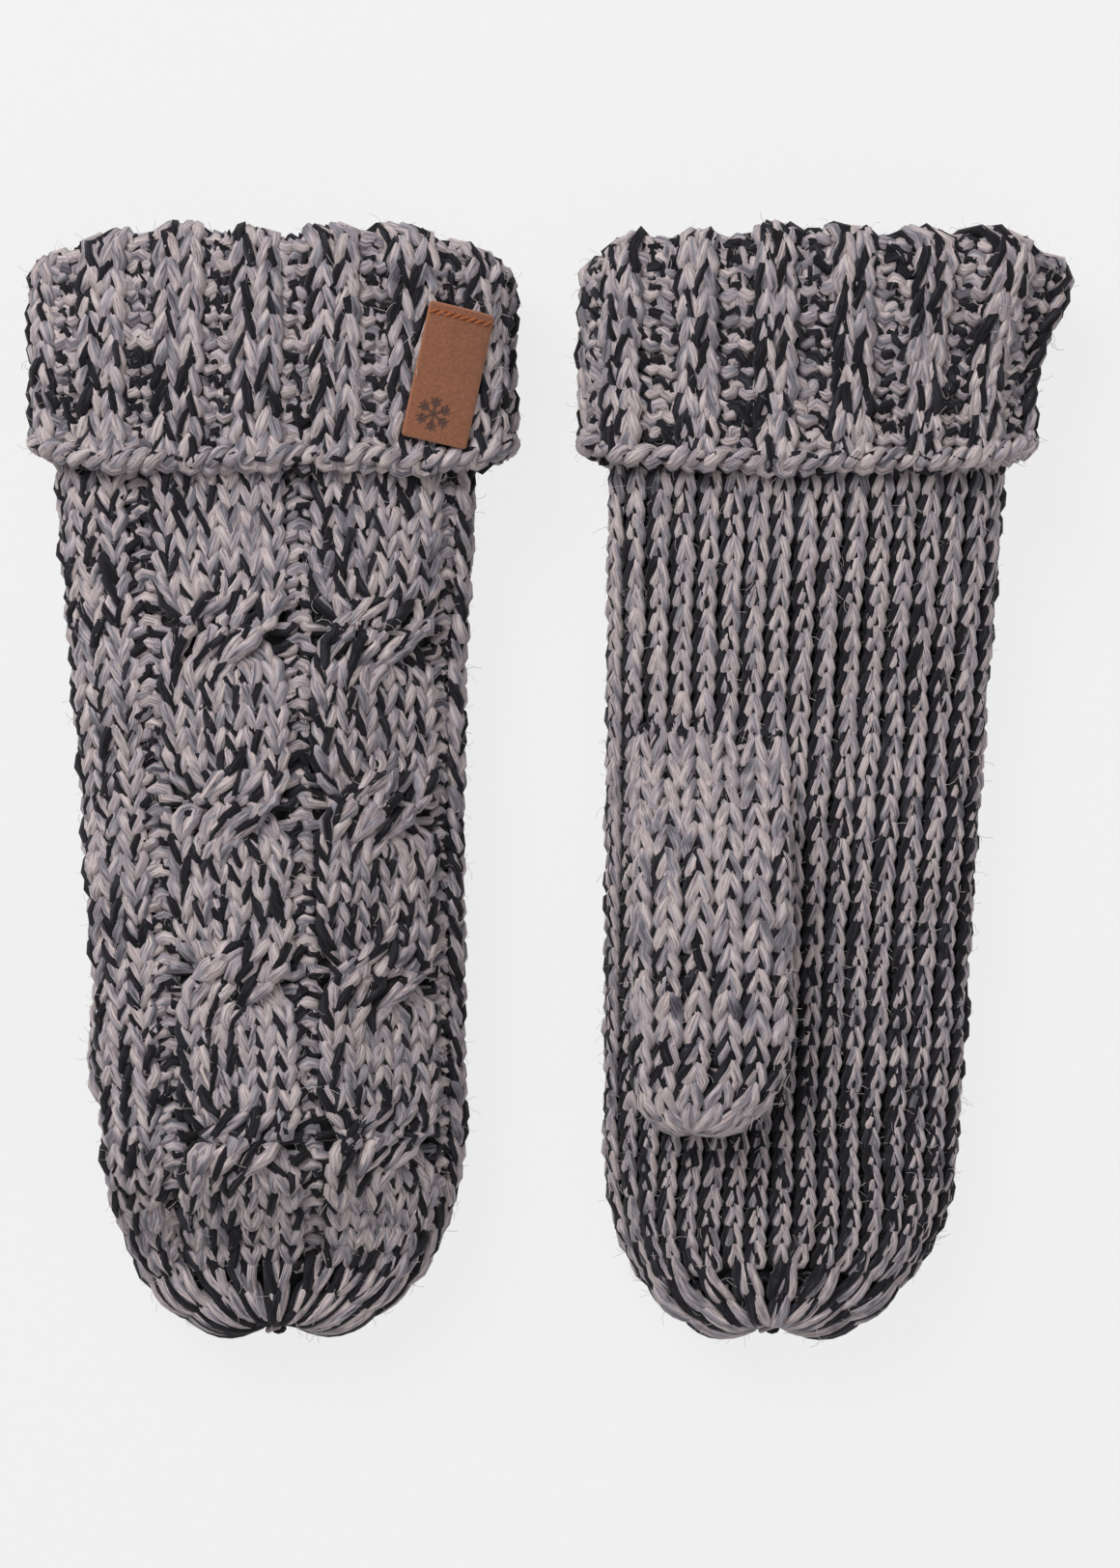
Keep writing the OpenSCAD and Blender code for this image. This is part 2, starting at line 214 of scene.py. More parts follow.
class Surface:
    """The middle surface of a knitted piece: u counts columns, v counts rows, and w is millimetres outwards."""

    outward = 1.0

    def share(self, u):
        """How far round the tube column u begins, in turns."""
        n = len(self.edges) - 1
        turns = np.floor(u / n)
        return turns + np.interp(u - turns * n, np.arange(n + 1), self.edges)

    def place(self, u, v, w):
        """Points on the fabric in millimetres, with the directions that stand straight out of it there."""
        p = self.at(u, v)
        e = 0.02
        du = self.at(u + e, v) - self.at(u - e, v)
        dv = self.at(u, v + e) - self.at(u, v - e)
        n = unit(np.cross(du, dv)) * self.outward
        return p + n * np.asarray(w)[..., None], n

    def orient(self):
        """Finds which of the two directions across the fabric is the outward one."""
        u, v = np.meshgrid(np.arange(0, self.columns), np.linspace(*self.rows_shown, 9))
        p = self.at(u, v)
        _, n = self.place(u, v, np.zeros(u.shape))
        mid = p.mean(axis=1, keepdims=True)
        self.outward = 1.0 if ((p - mid) * n).sum() > 0 else -1.0


class HandSurface(Surface):
    """A hand's tube and rounded tip. Rows count from the cuff's free edge, columns from the -X edge over the top."""

    columns = PALM_COLUMNS + len(BACK_KINDS)
    row, row_change = 4.99, 0.0085      # a row's height, and how much shorter each row is than the one before, halved
    cap_row = (row - math.sqrt(row ** 2 - 4 * row_change * (CUFF_EDGE - CAP))) / (2 * row_change)
    last_row = cap_row + 11.15
    rows_shown = (0, 30)

    def __init__(self, side):
        self.side = side
        palm = np.full(PALM_COLUMNS, 0.5 / PALM_COLUMNS)
        back = np.array(BACK_WIDTHS) / sum(BACK_WIDTHS) / 2
        # The left mitten shows its back on top, and the right one its palm.
        if side == LEFT:
            widths, self.kinds, self.top_columns = [back, palm], BACK_KINDS + PALM_KINDS, len(BACK_KINDS)
        else:
            widths, self.kinds, self.top_columns = [palm, back[::-1]], PALM_KINDS + BACK_KINDS[::-1], PALM_COLUMNS
        self.edges = np.concatenate([[0], np.cumsum(np.concatenate(widths))])
        self.cap_a = FINGER_HALF_W - YARN_IN
        self.cap_len = CAP - YARN_IN
        self.outline = cap_outline_table(self.cap_a, self.cap_len)
        self.orient()

    def at(self, u, v):
        xi, ze = ring_at(HAND_RING, self.share(u))
        dist = v * (self.row - self.row_change * v)
        y_body = CUFF_EDGE - dist
        a_body = mix(HAND_HALF_W, FINGER_HALF_W, along_hand(y_body)) - YARN_IN
        tau = np.clip(1 - (v - self.cap_row) / (self.last_row - self.cap_row), 0.004, 1)
        cx, cy = cap_point(tau, xi, self.cap_a, self.cap_len, self.outline)
        in_cap = v > self.cap_row
        # The gather draws the very tip inwards.
        dimple = 1.7 * np.clip(1 - tau / 0.16, 0, 1) ** 2
        y = np.where(in_cap, cy + YARN_IN + dimple, y_body)
        x_rel = np.where(in_cap, cx, a_body * xi)
        b = HAND_HALF_T - YARN_IN
        t = np.where(in_cap, np.sign(ze) * cap_depth(cx, cy, self.cap_a, b, self.cap_len), b * ze)
        x = axis_x(y, self.side) + x_rel
        if self.side == LEFT:
            x = x + xi * 2.6 * smooth((y - THUMB_BASE - 1) / 60)       # slack above the thumb
        z = centre_z(x, y, self.side) + t
        return np.stack([x + self.side * CUFF_X, y - MITTEN_LEN / 2, z], axis=-1)


class TipSurface(HandSurface):
    """The last rows of a hand: two columns worked together, in loops that grow longer as they are drawn in."""

    first_row, stretch = 39.3, 1.5
    rows_shown = (0, 1)

    def __init__(self, side):
        super().__init__(side)
        self.columns = HandSurface.columns // 2
        self.kinds = "s" * self.columns
        self.outward = HandSurface(side).outward

    def share(self, u):
        return super().share(2 * np.asarray(u, float))

    def at(self, u, v):
        return super().at(u, self.first_row + self.stretch * np.asarray(v, float))


class CuffSurface(Surface):
    """A turned-up cuff, from its free edge up the outside, round the fold and down inside. It has 14 ribs."""

    columns = 56
    row = 5.45
    rows_shown = (1, 7)

    def __init__(self, side):
        self.side = side
        self.start = CUFF_EDGE + 1.7        # the first row lies above the cast-on edge
        self.roll = 2.6                     # radius of the fold
        self.straight = MITTEN_LEN - YARN_IN - self.roll - self.start + 0.6
        ribs = self.columns // 4
        self.kinds = "kkpp" * ribs
        widths = np.tile([5.3, 5.3, 4.0, 4.0], ribs)        # purls draw in
        self.edges = np.concatenate([[0], np.cumsum(widths / widths.sum())])
        self.shift = 0.2 if side == LEFT else 2.3       # columns from the -X edge to the first rib
        self.orient()

    def at(self, u, v):
        xi, ze = ring_at(CUFF_RING, self.share(np.asarray(u, float) + self.shift))
        m = np.asarray(v, float) * self.row
        theta = np.clip((m - self.straight) / self.roll, 0, math.pi)
        down = np.maximum(m - self.straight - math.pi * self.roll, 0)
        y = self.start + np.minimum(m, self.straight) + self.roll * np.sin(theta) - down
        inner = (1 - np.cos(theta)) / 2
        # The free edge is slack and the corners of the fold are rounded off.
        middle = (self.start + MITTEN_LEN) / 2
        edge = np.abs(xi) ** 7
        y = y - edge * np.where(y > middle, 0.26 * (y - middle), 0.16 * (y - middle))
        y = y + 0.7 * np.sin(xi * 7 + self.side * 2) * smooth((y - middle) / 20)
        wide = CUFF_HALF_W - YARN_IN + 0.9
        if self.side == RIGHT:
            # This cuff flares: its outer edge is drawn in below and stands out at the fold.
            wide = wide - np.where(xi > 0, 7.0, 0.0) * smooth(np.abs(xi) * 1.2) * (1 - smooth((y - 212) / 30))
            wide = wide + np.where(xi > 0, 1.6, 0.0) * smooth((y - 226) / 18)
        offset = float(axis_x(CUFF_EDGE, self.side))
        x_out, z_out = wide * xi, (CUFF_HALF_T - YARN_IN) * ze
        x_in, z_in = (HAND_HALF_W - 2.0) * xi + offset, (HAND_HALF_T - 2.0) * ze
        x, z = mix(x_out, x_in, inner), mix(z_out, z_in, inner)
        z = np.maximum(z, -CUFF_Z + 1.9)
        return np.stack([x + self.side * CUFF_X, y - MITTEN_LEN / 2, z + CUFF_Z], axis=-1)


class ThumbSurface(Surface):
    """The thumb's tube: flush with the palm at its base line, it swells to its full thickness and lies along it."""

    columns = 12
    row = 5.1
    inset = THUMB_YARN_IN
    swell = 33.0            # from the base line to the full thickness
    rows_shown = (8, 12)

    def __init__(self, side):
        self.side = side
        self.kinds = "t" * self.columns
        self.reach = THUMB_LEN - NECK_R
        self.cap_length = THUMB_HALF_W * 2 * 0.62
        self.cap_row = (NECK_R + self.reach - self.cap_length) / self.row
        self.last_row = self.cap_row + (self.cap_length - self.inset) / 4.6
        self.outline = cap_outline_table(THUMB_HALF_W - self.inset, self.cap_length - self.inset)
        base_y = THUMB_BASE - NECK_R
        self.neck = (float(axis_x(base_y, side)) - THUMB_SIDE + side * CUFF_X, base_y - MITTEN_LEN / 2)
        self.orient()

    def put(self, x, y, z):
        """From beside the neck's axis, pointing to -Y and up off the palm, to where the thumb lies."""
        if self.side == LEFT:
            x, y = turned(x, y, -LEFT_SWING)
            z = LIFT - z
        else:
            z = 2 * HAND_HALF_T + z
        return np.stack([x + self.neck[0], y + self.neck[1], z], axis=-1)

    def at(self, u, v):
        xi, ze = ring_at(THUMB_RING, np.asarray(u, float) / self.columns)
        v = np.asarray(v, float)
        y_tube = NECK_R - v * self.row
        swell = smooth((NECK_R - y_tube) / self.swell)
        middle = mix(-1.0, LIE_GAP + THUMB_T / 2, swell)
        half = mix(0.3, THUMB_T / 2 - self.inset, swell)
        a = THUMB_HALF_W - self.inset
        tau = np.clip(1 - (v - self.cap_row) / (self.last_row - self.cap_row), 0.01, 1)
        length = self.cap_length - self.inset
        cx, cy = cap_point(tau, xi, a, length, self.outline)
        t = cap_depth(cx, cy, a, half, length)
        in_cap = v > self.cap_row
        x = np.where(in_cap, cx - 4.5 * (1 - tau) ** 2, a * xi)
        y = np.where(in_cap, cy - self.reach + self.inset, y_tube)
        z = middle + np.where(in_cap, np.sign(ze) * t, half * ze) + self.palm_drop(x) * (1 - swell)
        return self.put(x, y, z)

    def palm_drop(self, x):
        """How far the palm falls away to its edge, from its highest line."""
        across = np.clip(np.abs(x - THUMB_SIDE) / 43.5, 0, 0.97)
        return HAND_HALF_T * (arch(across, SECTION_POWER) - 1)


# ---------------------------------------------------------------------------------------------
# Stitches. Each course is one run of yarn; t goes from 0 to 1 through a stitch: up the left leg,
# over the head and down the right leg, ending in the sinker between two columns.
# ---------------------------------------------------------------------------------------------

CROSSING = 2.3      # half the rows that a crossing takes
# Where the dark ply lies round the pale one through a stitch, in degrees from the front: first lying beside
# the legs, in the gaps between the columns, and then hidden behind them.
STITCH_SHARES = (0, 0.12, 0.25, 0.38, 0.5, 0.62, 0.75, 0.88, 1)
DARK_BESIDE = (0, 72, 90, 103, 180, 257, 270, 288, 360)
DARK_BEHIND = (0, 150, 180, 180, 180, 180, 180, 210, 360)


def cable_shift(column, v, start):
    """How far a cable's strand has moved sideways, in columns, and how far it stands out, in shares of the yarn."""
    j = column - start
    side = np.where(j < 3, -1.0, 1.0)
    place = np.mod(j, 3) - 1.0
    shift, lift = np.zeros(np.shape(v)), np.zeros(np.shape(v))
    for row in CABLE_ROWS:
        near = v - row
        s = smooth((near + CROSSING) / (2 * CROSSING))
        before = near < 0
        # Before the crossing the right-hand strand is the front one; after it that strand is on the left.
        front = np.where(before, side > 0, side < 0)
        went = np.where(before, s * 2, (1 - s) * 2) * 1.5
        here = np.abs(near) < CROSSING
        # The strand that passes behind spreads out, so that the cable keeps its width.
        middle = np.cos(near / CROSSING * math.pi / 2) ** 2
        spread = place * np.where(front, 0.72, 0.1) * middle
        shift = np.where(here, -side * went + spread, shift)
        lift = np.where(here, np.where(front, 1.0, -1.0) * middle, lift)
    return shift, lift


def eased(a, times):
    """Takes the corners off where knit and purl columns meet."""
    for _ in range(times):
        b = a.copy()
        b[:, 1:-1] = (a[:, :-2] + 2 * a[:, 1:-1] + a[:, 2:]) / 4
        a = b
    return a


def knit_courses(surface, rows, columns, seed, look):
    """Centre lines of every course over a block of rows and columns, as arrays of u, v, w and thickness."""
    rng = np.random.default_rng(seed)
    r = np.asarray(rows, float)[:, None, None]
    c = np.asarray(columns, float)[None, :, None]
    t = (np.arange(look["steps"]) / look["steps"])[None, None, :]
    kinds = np.array([surface.kinds[int(k) % surface.columns] for k in columns])[None, :, None]
    purl = kinds == "p"
    gap_open = look["gap"](r) + 0.035 * drift(c * 0.9, r * 0.55, seed + 3)
    lean = look["lean"]
    u_in = t + gap_open * np.sin(2 * math.pi * t) + lean * np.sin(4 * math.pi * t)
    u_in = np.where(purl, t + 0.20 * np.sin(4 * math.pi * t), u_in)
    v_in = -look["grows"] * look["tall"] * np.cos(2 * math.pi * t) * np.where(purl, 0.92, 1.0)
    w_in = np.where(purl, 0.85, -1) * look["deep"] * np.cos(4 * math.pi * t)
    w_in = w_in - np.where(purl, 0, look["sinker"]) * (0.5 + 0.5 * np.cos(2 * math.pi * t)) ** 3
    w_in = w_in + np.zeros((len(rows), 1, 1))
    sunk = eased(np.broadcast_to(np.where(purl, -look["sunk"], 0.0), w_in.shape).reshape(len(rows), -1), 8)
    w_in = w_in + sunk.reshape(w_in.shape)
    jitter = rng.normal(0, 1, (5, len(rows), len(columns), 1))
    u = c + u_in + 0.035 * jitter[0]
    v = r + v_in + 0.05 * jitter[1] + 0.12 * drift(c * 0.35, r * 0.3, seed + 5)
    w = w_in + 0.14 * jitter[2] + np.zeros(u.shape)
    # Each leg is plumpest near its foot, where the next loop draws it open.
    thick = 0.78 + 0.32 * np.sin(2 * math.pi * t) ** 2 - 0.10 * np.cos(2 * math.pi * t)
    thick = thick * (1 + 0.06 * jitter[3])
    thick = np.where(purl, (1.02 + 0.18 * np.cos(2 * math.pi * t) ** 2) * (1 + 0.06 * jitter[3]), thick)
    u, v, w, thick = np.broadcast_arrays(u, v, w, thick)
    u, v, w, thick = u.copy(), v.copy(), w.copy(), thick.copy()
    # Cables: strands of three columns pass over and under each other.
    text = surface.kinds
    for begin in [i for i in range(len(text)) if text[i:i + 6] == "cccccc" and (i == 0 or text[i - 1] != "c")]:
        inside = [k for k, col in enumerate(columns) if begin <= int(col) % surface.columns < begin + 6]
        for k in inside:
            col = int(columns[k]) % surface.columns
            shift, lift = cable_shift(col, v[:, k], begin)
            u[:, k] += shift
            w[:, k] += np.where(lift > 0, lift * 1.4, lift * 2.4) + 0.5
            thick[:, k] *= 1 + 0.14 * np.maximum(lift, 0)
    shape = (len(rows), -1)
    t = np.broadcast_to(t, u.shape)
    return [a.reshape(shape) for a in (u, v, w, thick, t)]


def ply_lines(surface, u, v, w, thick, t, seed, look):
    """The two plies of a course: the pale, thick one and the thin dark one that lies round it."""
    p, n = surface.place(u, v, w)
    tangent = unit(np.gradient(p, axis=1))
    n = unit(n - tangent * (n * tangent).sum(-1, keepdims=True))
    side = np.cross(tangent, n) * surface.outward
    step = np.linalg.norm(np.diff(p, axis=1), axis=-1)
    s = np.concatenate([np.zeros((len(p), 1)), np.cumsum(step, axis=1)], axis=1)
    rng = np.random.default_rng(seed + 11)
    offset = rng.uniform(0, 400, (len(p), 1))
    row = np.arange(len(p))[:, None] * 7.3 + offset
    # The yarn turns once through a stitch. Where it isn't settled, the turn wanders ahead and behind.
    beside, behind = (np.interp(t, STITCH_SHARES, x) for x in (DARK_BESIDE, DARK_BEHIND))
    number = np.arange(len(p))[:, None] + 0.0 * s
    hidden = (look["dark_side"](number) - 90) / 90
    wander = (1 - look["settled"]) * 2.6 * drift(s * 0.045, row * 0.7, seed + 41)
    wander = wander + 0.22 * drift(s * 0.15, row, seed + 31)
    a = -look["grows"] * mix(beside, behind, hidden) * math.pi / 180 + wander
    away = np.cos(a)[..., None] * n + np.sin(a)[..., None] * side
    # In places the spinner fed more of the dark wool, which pools over a few stitches of a course.
    pool = look["pooling"] * drift(s * 0.035, row * 1.3, seed + 61)
    yarn = bpy.context.scene.mitten_sizes
    r_pale = look["pale_r"] * look["fullness"](number) * yarn.pale_ply / 0.0024 * thick * (1 - 0.30 * pool)
    r_dark = look["dark_r"] * yarn.dark_ply / 0.0018 * (0.75 + 0.25 * thick) * (1 + 0.5 * pool)
    r_dark = r_dark * (1 + 0.18 * drift(s * 0.21, row, seed + 51))
    pale = p - away * (0.30 * r_dark)[..., None]
    dark = p + away * (r_pale * 0.66 + 0.12)[..., None]
    # Nothing sinks below the surface that the pair lies on.
    pale[..., 2] = np.maximum(pale[..., 2], r_pale * 0.9)
    dark[..., 2] = np.maximum(dark[..., 2], r_dark * 0.9)
    return pale, r_pale, dark, r_dark, s + offset


def always(value):
    return lambda row: np.full(np.shape(row), float(value))


def palm_gap(row):
    """The palm's columns stand apart, except in the first row below the cuff."""
    return mix(0.03, 0.155, smooth((row - 0.2) / 1.6))


def palm_fullness(row):
    """The palm's pale ply is drawn thinner towards the fingertip, so more of the black one shows."""
    return mix(0.98, 0.79, smooth((row - 4) / 28))


def thumb_dark_side(row):
    """The first rows show only the pale ply; then the dark one comes out between the columns every few rows."""
    return np.where(row < 2.5, 150.0, 106 + 20 * np.cos(row * 1.57 + 0.6) - 8 * smooth((row - 8) / 3))


def thumb_gap(row):
    """The thumb is knitted tighter than the palm, with gaps opening between its columns every few rows."""
    return np.where(row < 2.5, 0.03, 0.09 - 0.05 * np.cos(row * 1.57 + 0.6))


# "grows" is 1 where the stitches read as carets, worked towards the fingertip, and -1 where they read as Vs.
CARETS = dict(grows=1, deep=0.8, fullness=always(1), dark_side=always(98), steps=12)
VEES = dict(grows=-1, gap=always(0.04), lean=0.31, tall=0.86, sinker=0.6, fullness=always(1), dark_side=always(96),
            settled=0.42, steps=12)
PALM_LOOK = dict(CARETS, gap=palm_gap, lean=0.235, tall=0.94, sunk=1.3, sinker=1.5, pale_r=1.11, dark_r=1.12,
                 settled=0.93, pooling=0.18, fullness=palm_fullness)
THUMB_LOOK = dict(CARETS, gap=thumb_gap, lean=0.27, tall=0.90, sunk=1.2, sinker=0.9, pale_r=1.30, dark_r=1.18,
                  dark_side=thumb_dark_side, settled=0.84, pooling=0.32)
TIP_LOOK = dict(CARETS, gap=always(0.13), lean=0.17, tall=0.92, deep=1.2, sunk=1.2, sinker=1.4, pale_r=1.45,
                dark_r=1.35, settled=0.85, pooling=0.2, fullness=always(0.84), steps=26)
BACK_LOOK = dict(VEES, deep=0.8, sunk=1.5, pale_r=1.30, dark_r=1.02, pooling=0.45)
CUFF_LOOK = dict(VEES, deep=0.9, sunk=2.2, pale_r=1.32, dark_r=1.14, pooling=0.46)


# ---------------------------------------------------------------------------------------------
# Materials
# ---------------------------------------------------------------------------------------------


def linear(hex_colour):
    """An sRGB hex value as linear light, for a shader."""
    h = hex_colour.lstrip("#")
    out = []
    for i in (0, 2, 4):
        c = int(h[i:i + 2], 16) / 255
        out.append(c / 12.92 if c <= 0.04045 else ((c + 0.055) / 1.055) ** 2.4)
    return tuple(out) + (1.0,)


def add_node(tree, kind, settings=None, links=None, values=None, stops=()):
    """Adds a node with its settings, socket values, colour stops and links from (node, output) pairs."""
    node = tree.nodes.new(kind)
    for key, value in (settings or {}).items():
        setattr(node, key, value)
    for key, value in (values or {}).items():
        node.inputs[key].default_value = value
    for key, (source, output) in (links or {}).items():
        tree.links.new(source.outputs[output], node.inputs[key])
    for i, (at, colour) in enumerate(stops):
        element = node.color_ramp.elements[i] if i < 2 else node.color_ramp.elements.new(at)
        element.position, element.color = at, tuple(colour)
    return node


def new_material(name):
    material = bpy.data.materials.new(name)
    material.use_nodes = True
    tree = material.node_tree
    tree.nodes.clear()
    return material, tree


def finish_material(tree, colour, bump, **values):
    """Gives a tree its shader: a colour, a relief from a height, its strength and depth, and plain values."""
    height, strength, depth = bump
    relief = add_node(tree, "ShaderNodeBump", links={"Height": height},
                      values={"Strength": strength, "Distance": depth})
    shader = add_node(tree, "ShaderNodeBsdfPrincipled", links={"Base Color": colour, "Normal": (relief, "Normal")},
                      values={key.replace("_", " "): value for key, value in values.items()})
    add_node(tree, "ShaderNodeOutputMaterial", links={"Surface": (shader, "BSDF")})


def wool(name, tones, fibre, over, bump, bloom):
    """Carded wool and acrylic, spun soft: matt, with a pale bloom where fibres catch the light at the edges. The
    pattern lies on the ply's own map, where one unit across is 60 mm of yarn and one unit up is 16 lanes, one for a
    ply's half turn of about 3.6 mm. Streaks are 4 mm long and 0.4 mm wide, coarser than real fibres, so as to show."""
    material, tree = new_material(name)
    uv = add_node(tree, "ShaderNodeUVMap", {"uv_map": "OFBake"})
    stretch = add_node(tree, "ShaderNodeMapping", links={"Vector": (uv, "UV")}, values={"Scale": (15.0, 150.0, 1.0)})
    fibres = add_node(tree, "ShaderNodeTexNoise", links={"Vector": (stretch, "Vector")},
                      values={"Scale": 1.0, "Detail": 4.0, "Roughness": 0.62, "Distortion": 0.5})
    wide = add_node(tree, "ShaderNodeMapping", links={"Vector": (uv, "UV")}, values={"Scale": (6.0, 30.0, 1.0)})
    patches = add_node(tree, "ShaderNodeTexNoise", links={"Vector": (wide, "Vector")},
                       values={"Scale": 1.0, "Detail": 2.0, "Roughness": 0.5})
    tone = add_node(tree, "ShaderNodeValToRGB", links={"Fac": (patches, "Fac")}, stops=tones)
    shade = add_node(tree, "ShaderNodeValToRGB", links={"Fac": (fibres, "Fac")}, stops=fibre)
    both = add_node(tree, "ShaderNodeMix", {"data_type": "RGBA", "blend_type": over},
                    {6: (tone, "Color"), 7: (shade, "Color")}, {0: 1.0})
    finish_material(tree, (both, 2), ((fibres, "Fac"), bump, 0.0005), Roughness=0.92, IOR=1.54,
                    Specular_IOR_Level=0.12, Sheen_Weight=bloom, Sheen_Roughness=0.5)
    return material


def cloth(name, low, high, scale, depth, sheen, mark=None):
    """A surface whose grain is one noise on Object coordinates, between two tones. A mark is the two colours that
    the "pressed" and "rim" attributes bring in."""
    material, tree = new_material(name)
    coords = add_node(tree, "ShaderNodeTexCoord")
    grain = add_node(tree, "ShaderNodeTexNoise", links={"Vector": (coords, "Object")},
                     values={"Scale": scale, "Detail": 4.0, "Roughness": 0.65})
    tone = add_node(tree, "ShaderNodeValToRGB", links={"Fac": (grain, "Fac")}, stops=[(0.32, low), (0.68, high)])
    shown = (tone, "Color")
    if mark:
        for attribute, colour in (("rim", mark[1]), ("pressed", mark[0])):
            share = add_node(tree, "ShaderNodeAttribute", {"attribute_name": attribute})
            shown = (add_node(tree, "ShaderNodeMix", {"data_type": "RGBA"}, {0: (share, "Fac"), 6: shown},
                              {7: colour}), 2)
    finish_material(tree, shown, ((grain, "Fac"), 0.7, depth), Roughness=0.9, Specular_IOR_Level=0.2,
                    Sheen_Weight=sheen, Sheen_Roughness=0.6)
    return material


# ---------------------------------------------------------------------------------------------
# Geometry Nodes: yarn swept along its courses
# ---------------------------------------------------------------------------------------------


def new_tree(name, inputs):
    """A node tree that takes geometry, the given numbers and a material, with the node that they come in by."""
    tree = bpy.data.node_groups.new(name, "GeometryNodeTree")
    face = tree.interface
    face.new_socket("Geometry", in_out="INPUT", socket_type="NodeSocketGeometry")
    for label, kind, value in inputs:
        face.new_socket(label, in_out="INPUT", socket_type=kind).default_value = value
    face.new_socket("Material", in_out="INPUT", socket_type="NodeSocketMaterial")
    face.new_socket("Geometry", in_out="OUTPUT", socket_type="NodeSocketGeometry")
    return tree, add_node(tree, "NodeGroupInput")


def end_tree(tree, start, made):
    """Makes everything in the tree real, gives it the material and hands it on."""
    real = add_node(tree, "GeometryNodeRealizeInstances", links={"Geometry": made})
    done = add_node(tree, "GeometryNodeSetMaterial",
                    links={"Geometry": (real, "Geometry"), "Material": (start, "Material")})
    add_node(tree, "NodeGroupOutput", links={"Geometry": (done, "Geometry")})
    return tree


@functools.cache
def yarn_tree():
    """Sweeps a round ply along every run of yarn. Each point's own thickness scales it."""
    tree, start = new_tree("Yarn along its courses", [("Sides", "NodeSocketInt", 6)])
    run = add_node(tree, "GeometryNodeMeshToCurve", links={"Mesh": (start, "Geometry")})
    ring = add_node(tree, "GeometryNodeCurvePrimitiveCircle", {"mode": "RADIUS"},
                    links={"Resolution": (start, "Sides")}, values={"Radius": 1.0})
    # "turn" goes 0 to 1 and back round the ply, so a pattern on it has no seam.
    index = add_node(tree, "GeometryNodeInputIndex")
    share = add_node(tree, "ShaderNodeMath", {"operation": "DIVIDE"}, {0: (index, "Index"), 1: (start, "Sides")})
    twice = add_node(tree, "ShaderNodeMath", {"operation": "MULTIPLY_ADD"}, {0: (share, "Value")}, {1: 2.0, 2: -1.0})
    turn = add_node(tree, "ShaderNodeMath", {"operation": "ABSOLUTE"}, {0: (twice, "Value")})
    marked = add_node(tree, "GeometryNodeStoreNamedAttribute", {"data_type": "FLOAT", "domain": "POINT"},
                      {"Geometry": (ring, "Curve"), "Value": (turn, "Value")}, {"Name": "turn"})
    thick = add_node(tree, "GeometryNodeInputNamedAttribute", {"data_type": "FLOAT"}, values={"Name": "thick"})
    swept = add_node(tree, "GeometryNodeCurveToMesh",
                     links={"Curve": (run, "Curve"), "Profile Curve": (marked, "Geometry"),
                            "Scale": (thick, "Attribute")}, values={"Fill Caps": True})
    soft = add_node(tree, "GeometryNodeSetShadeSmooth", links={"Geometry": (swept, "Mesh")})
    return end_tree(tree, start, (soft, "Geometry"))


@functools.cache
def fibre_tree():
    """Loose fibres standing out of the wool: bent hairs scattered over a yarn's surface."""
    tree, start = new_tree("Loose fibres", [
        ("Per square metre", "NodeSocketFloat", 1e5), ("Length", "NodeSocketFloat", 0.003),
        ("Half thickness", "NodeSocketFloat", 5e-5), ("Seed", "NodeSocketInt", 1)])
    seed = {"Seed": (start, "Seed")}
    roots = add_node(tree, "GeometryNodeDistributePointsOnFaces", {"distribute_method": "RANDOM"},
                     {"Mesh": (start, "Geometry"), "Density": (start, "Per square metre"), **seed})
    bend = add_node(tree, "GeometryNodeCurveQuadraticBezier",
                    values={"Resolution": 3, "Start": (0, 0, -0.1), "Middle": (0, 0, 0.6), "End": (0.7, 0.1, 0.75)})
    slim = add_node(tree, "ShaderNodeMath", {"operation": "DIVIDE"},
                    {0: (start, "Half thickness"), 1: (start, "Length")})
    section = add_node(tree, "GeometryNodeCurvePrimitiveCircle", {"mode": "RADIUS"},
                       {"Radius": (slim, "Value")}, {"Resolution": 3})
    hair = add_node(tree, "GeometryNodeCurveToMesh",
                    links={"Curve": (bend, "Curve"), "Profile Curve": (section, "Curve")}, values={"Fill Caps": True})
    turn = add_node(tree, "FunctionNodeRandomValue", {"data_type": "FLOAT_VECTOR"}, seed,
                    {0: (-0.8, -0.8, -3.14), 1: (0.8, 0.8, 3.14)})
    by = add_node(tree, "FunctionNodeEulerToRotation", links={"Euler": (turn, "Value")})
    lean = add_node(tree, "FunctionNodeRotateRotation", {"rotation_space": "LOCAL"},
                    {"Rotation": (roots, "Rotation"), "Rotate By": (by, "Rotation")})
    size = add_node(tree, "FunctionNodeRandomValue", {"data_type": "FLOAT"}, seed, {2: 0.5, 3: 1.4})
    scale = add_node(tree, "ShaderNodeMath", {"operation": "MULTIPLY"}, {0: (size, 1), 1: (start, "Length")})
    grown = add_node(tree, "GeometryNodeInstanceOnPoints",
                     links={"Points": (roots, "Points"), "Instance": (hair, "Mesh"), "Rotation": (lean, "Rotation"),
                            "Scale": (scale, "Value")})
    return end_tree(tree, start, (grown, "Instances"))


def through(tree, mesh, **inputs):
    """Runs a mesh through a node tree, and gives the result as a plain mesh with no modifier left on it."""
    holder = link_object(mesh.name, mesh)
    modifier = holder.modifiers.new("Build", "NODES")
    modifier.node_group = tree
    for item in tree.interface.items_tree:
        key = item.name.lower().replace(" ", "_")
        if item.item_type == "SOCKET" and item.in_out == "INPUT" and key in inputs:
            modifier[item.identifier] = inputs[key]
    made = bpy.data.meshes.new_from_object(holder.evaluated_get(bpy.context.evaluated_depsgraph_get()))
    holder.modifiers.clear()
    bpy.data.objects.remove(holder)
    return made


def link_object(name, mesh):
    obj = bpy.data.objects.new(name, mesh)
    bpy.context.scene.collection.objects.link(obj)
    return obj


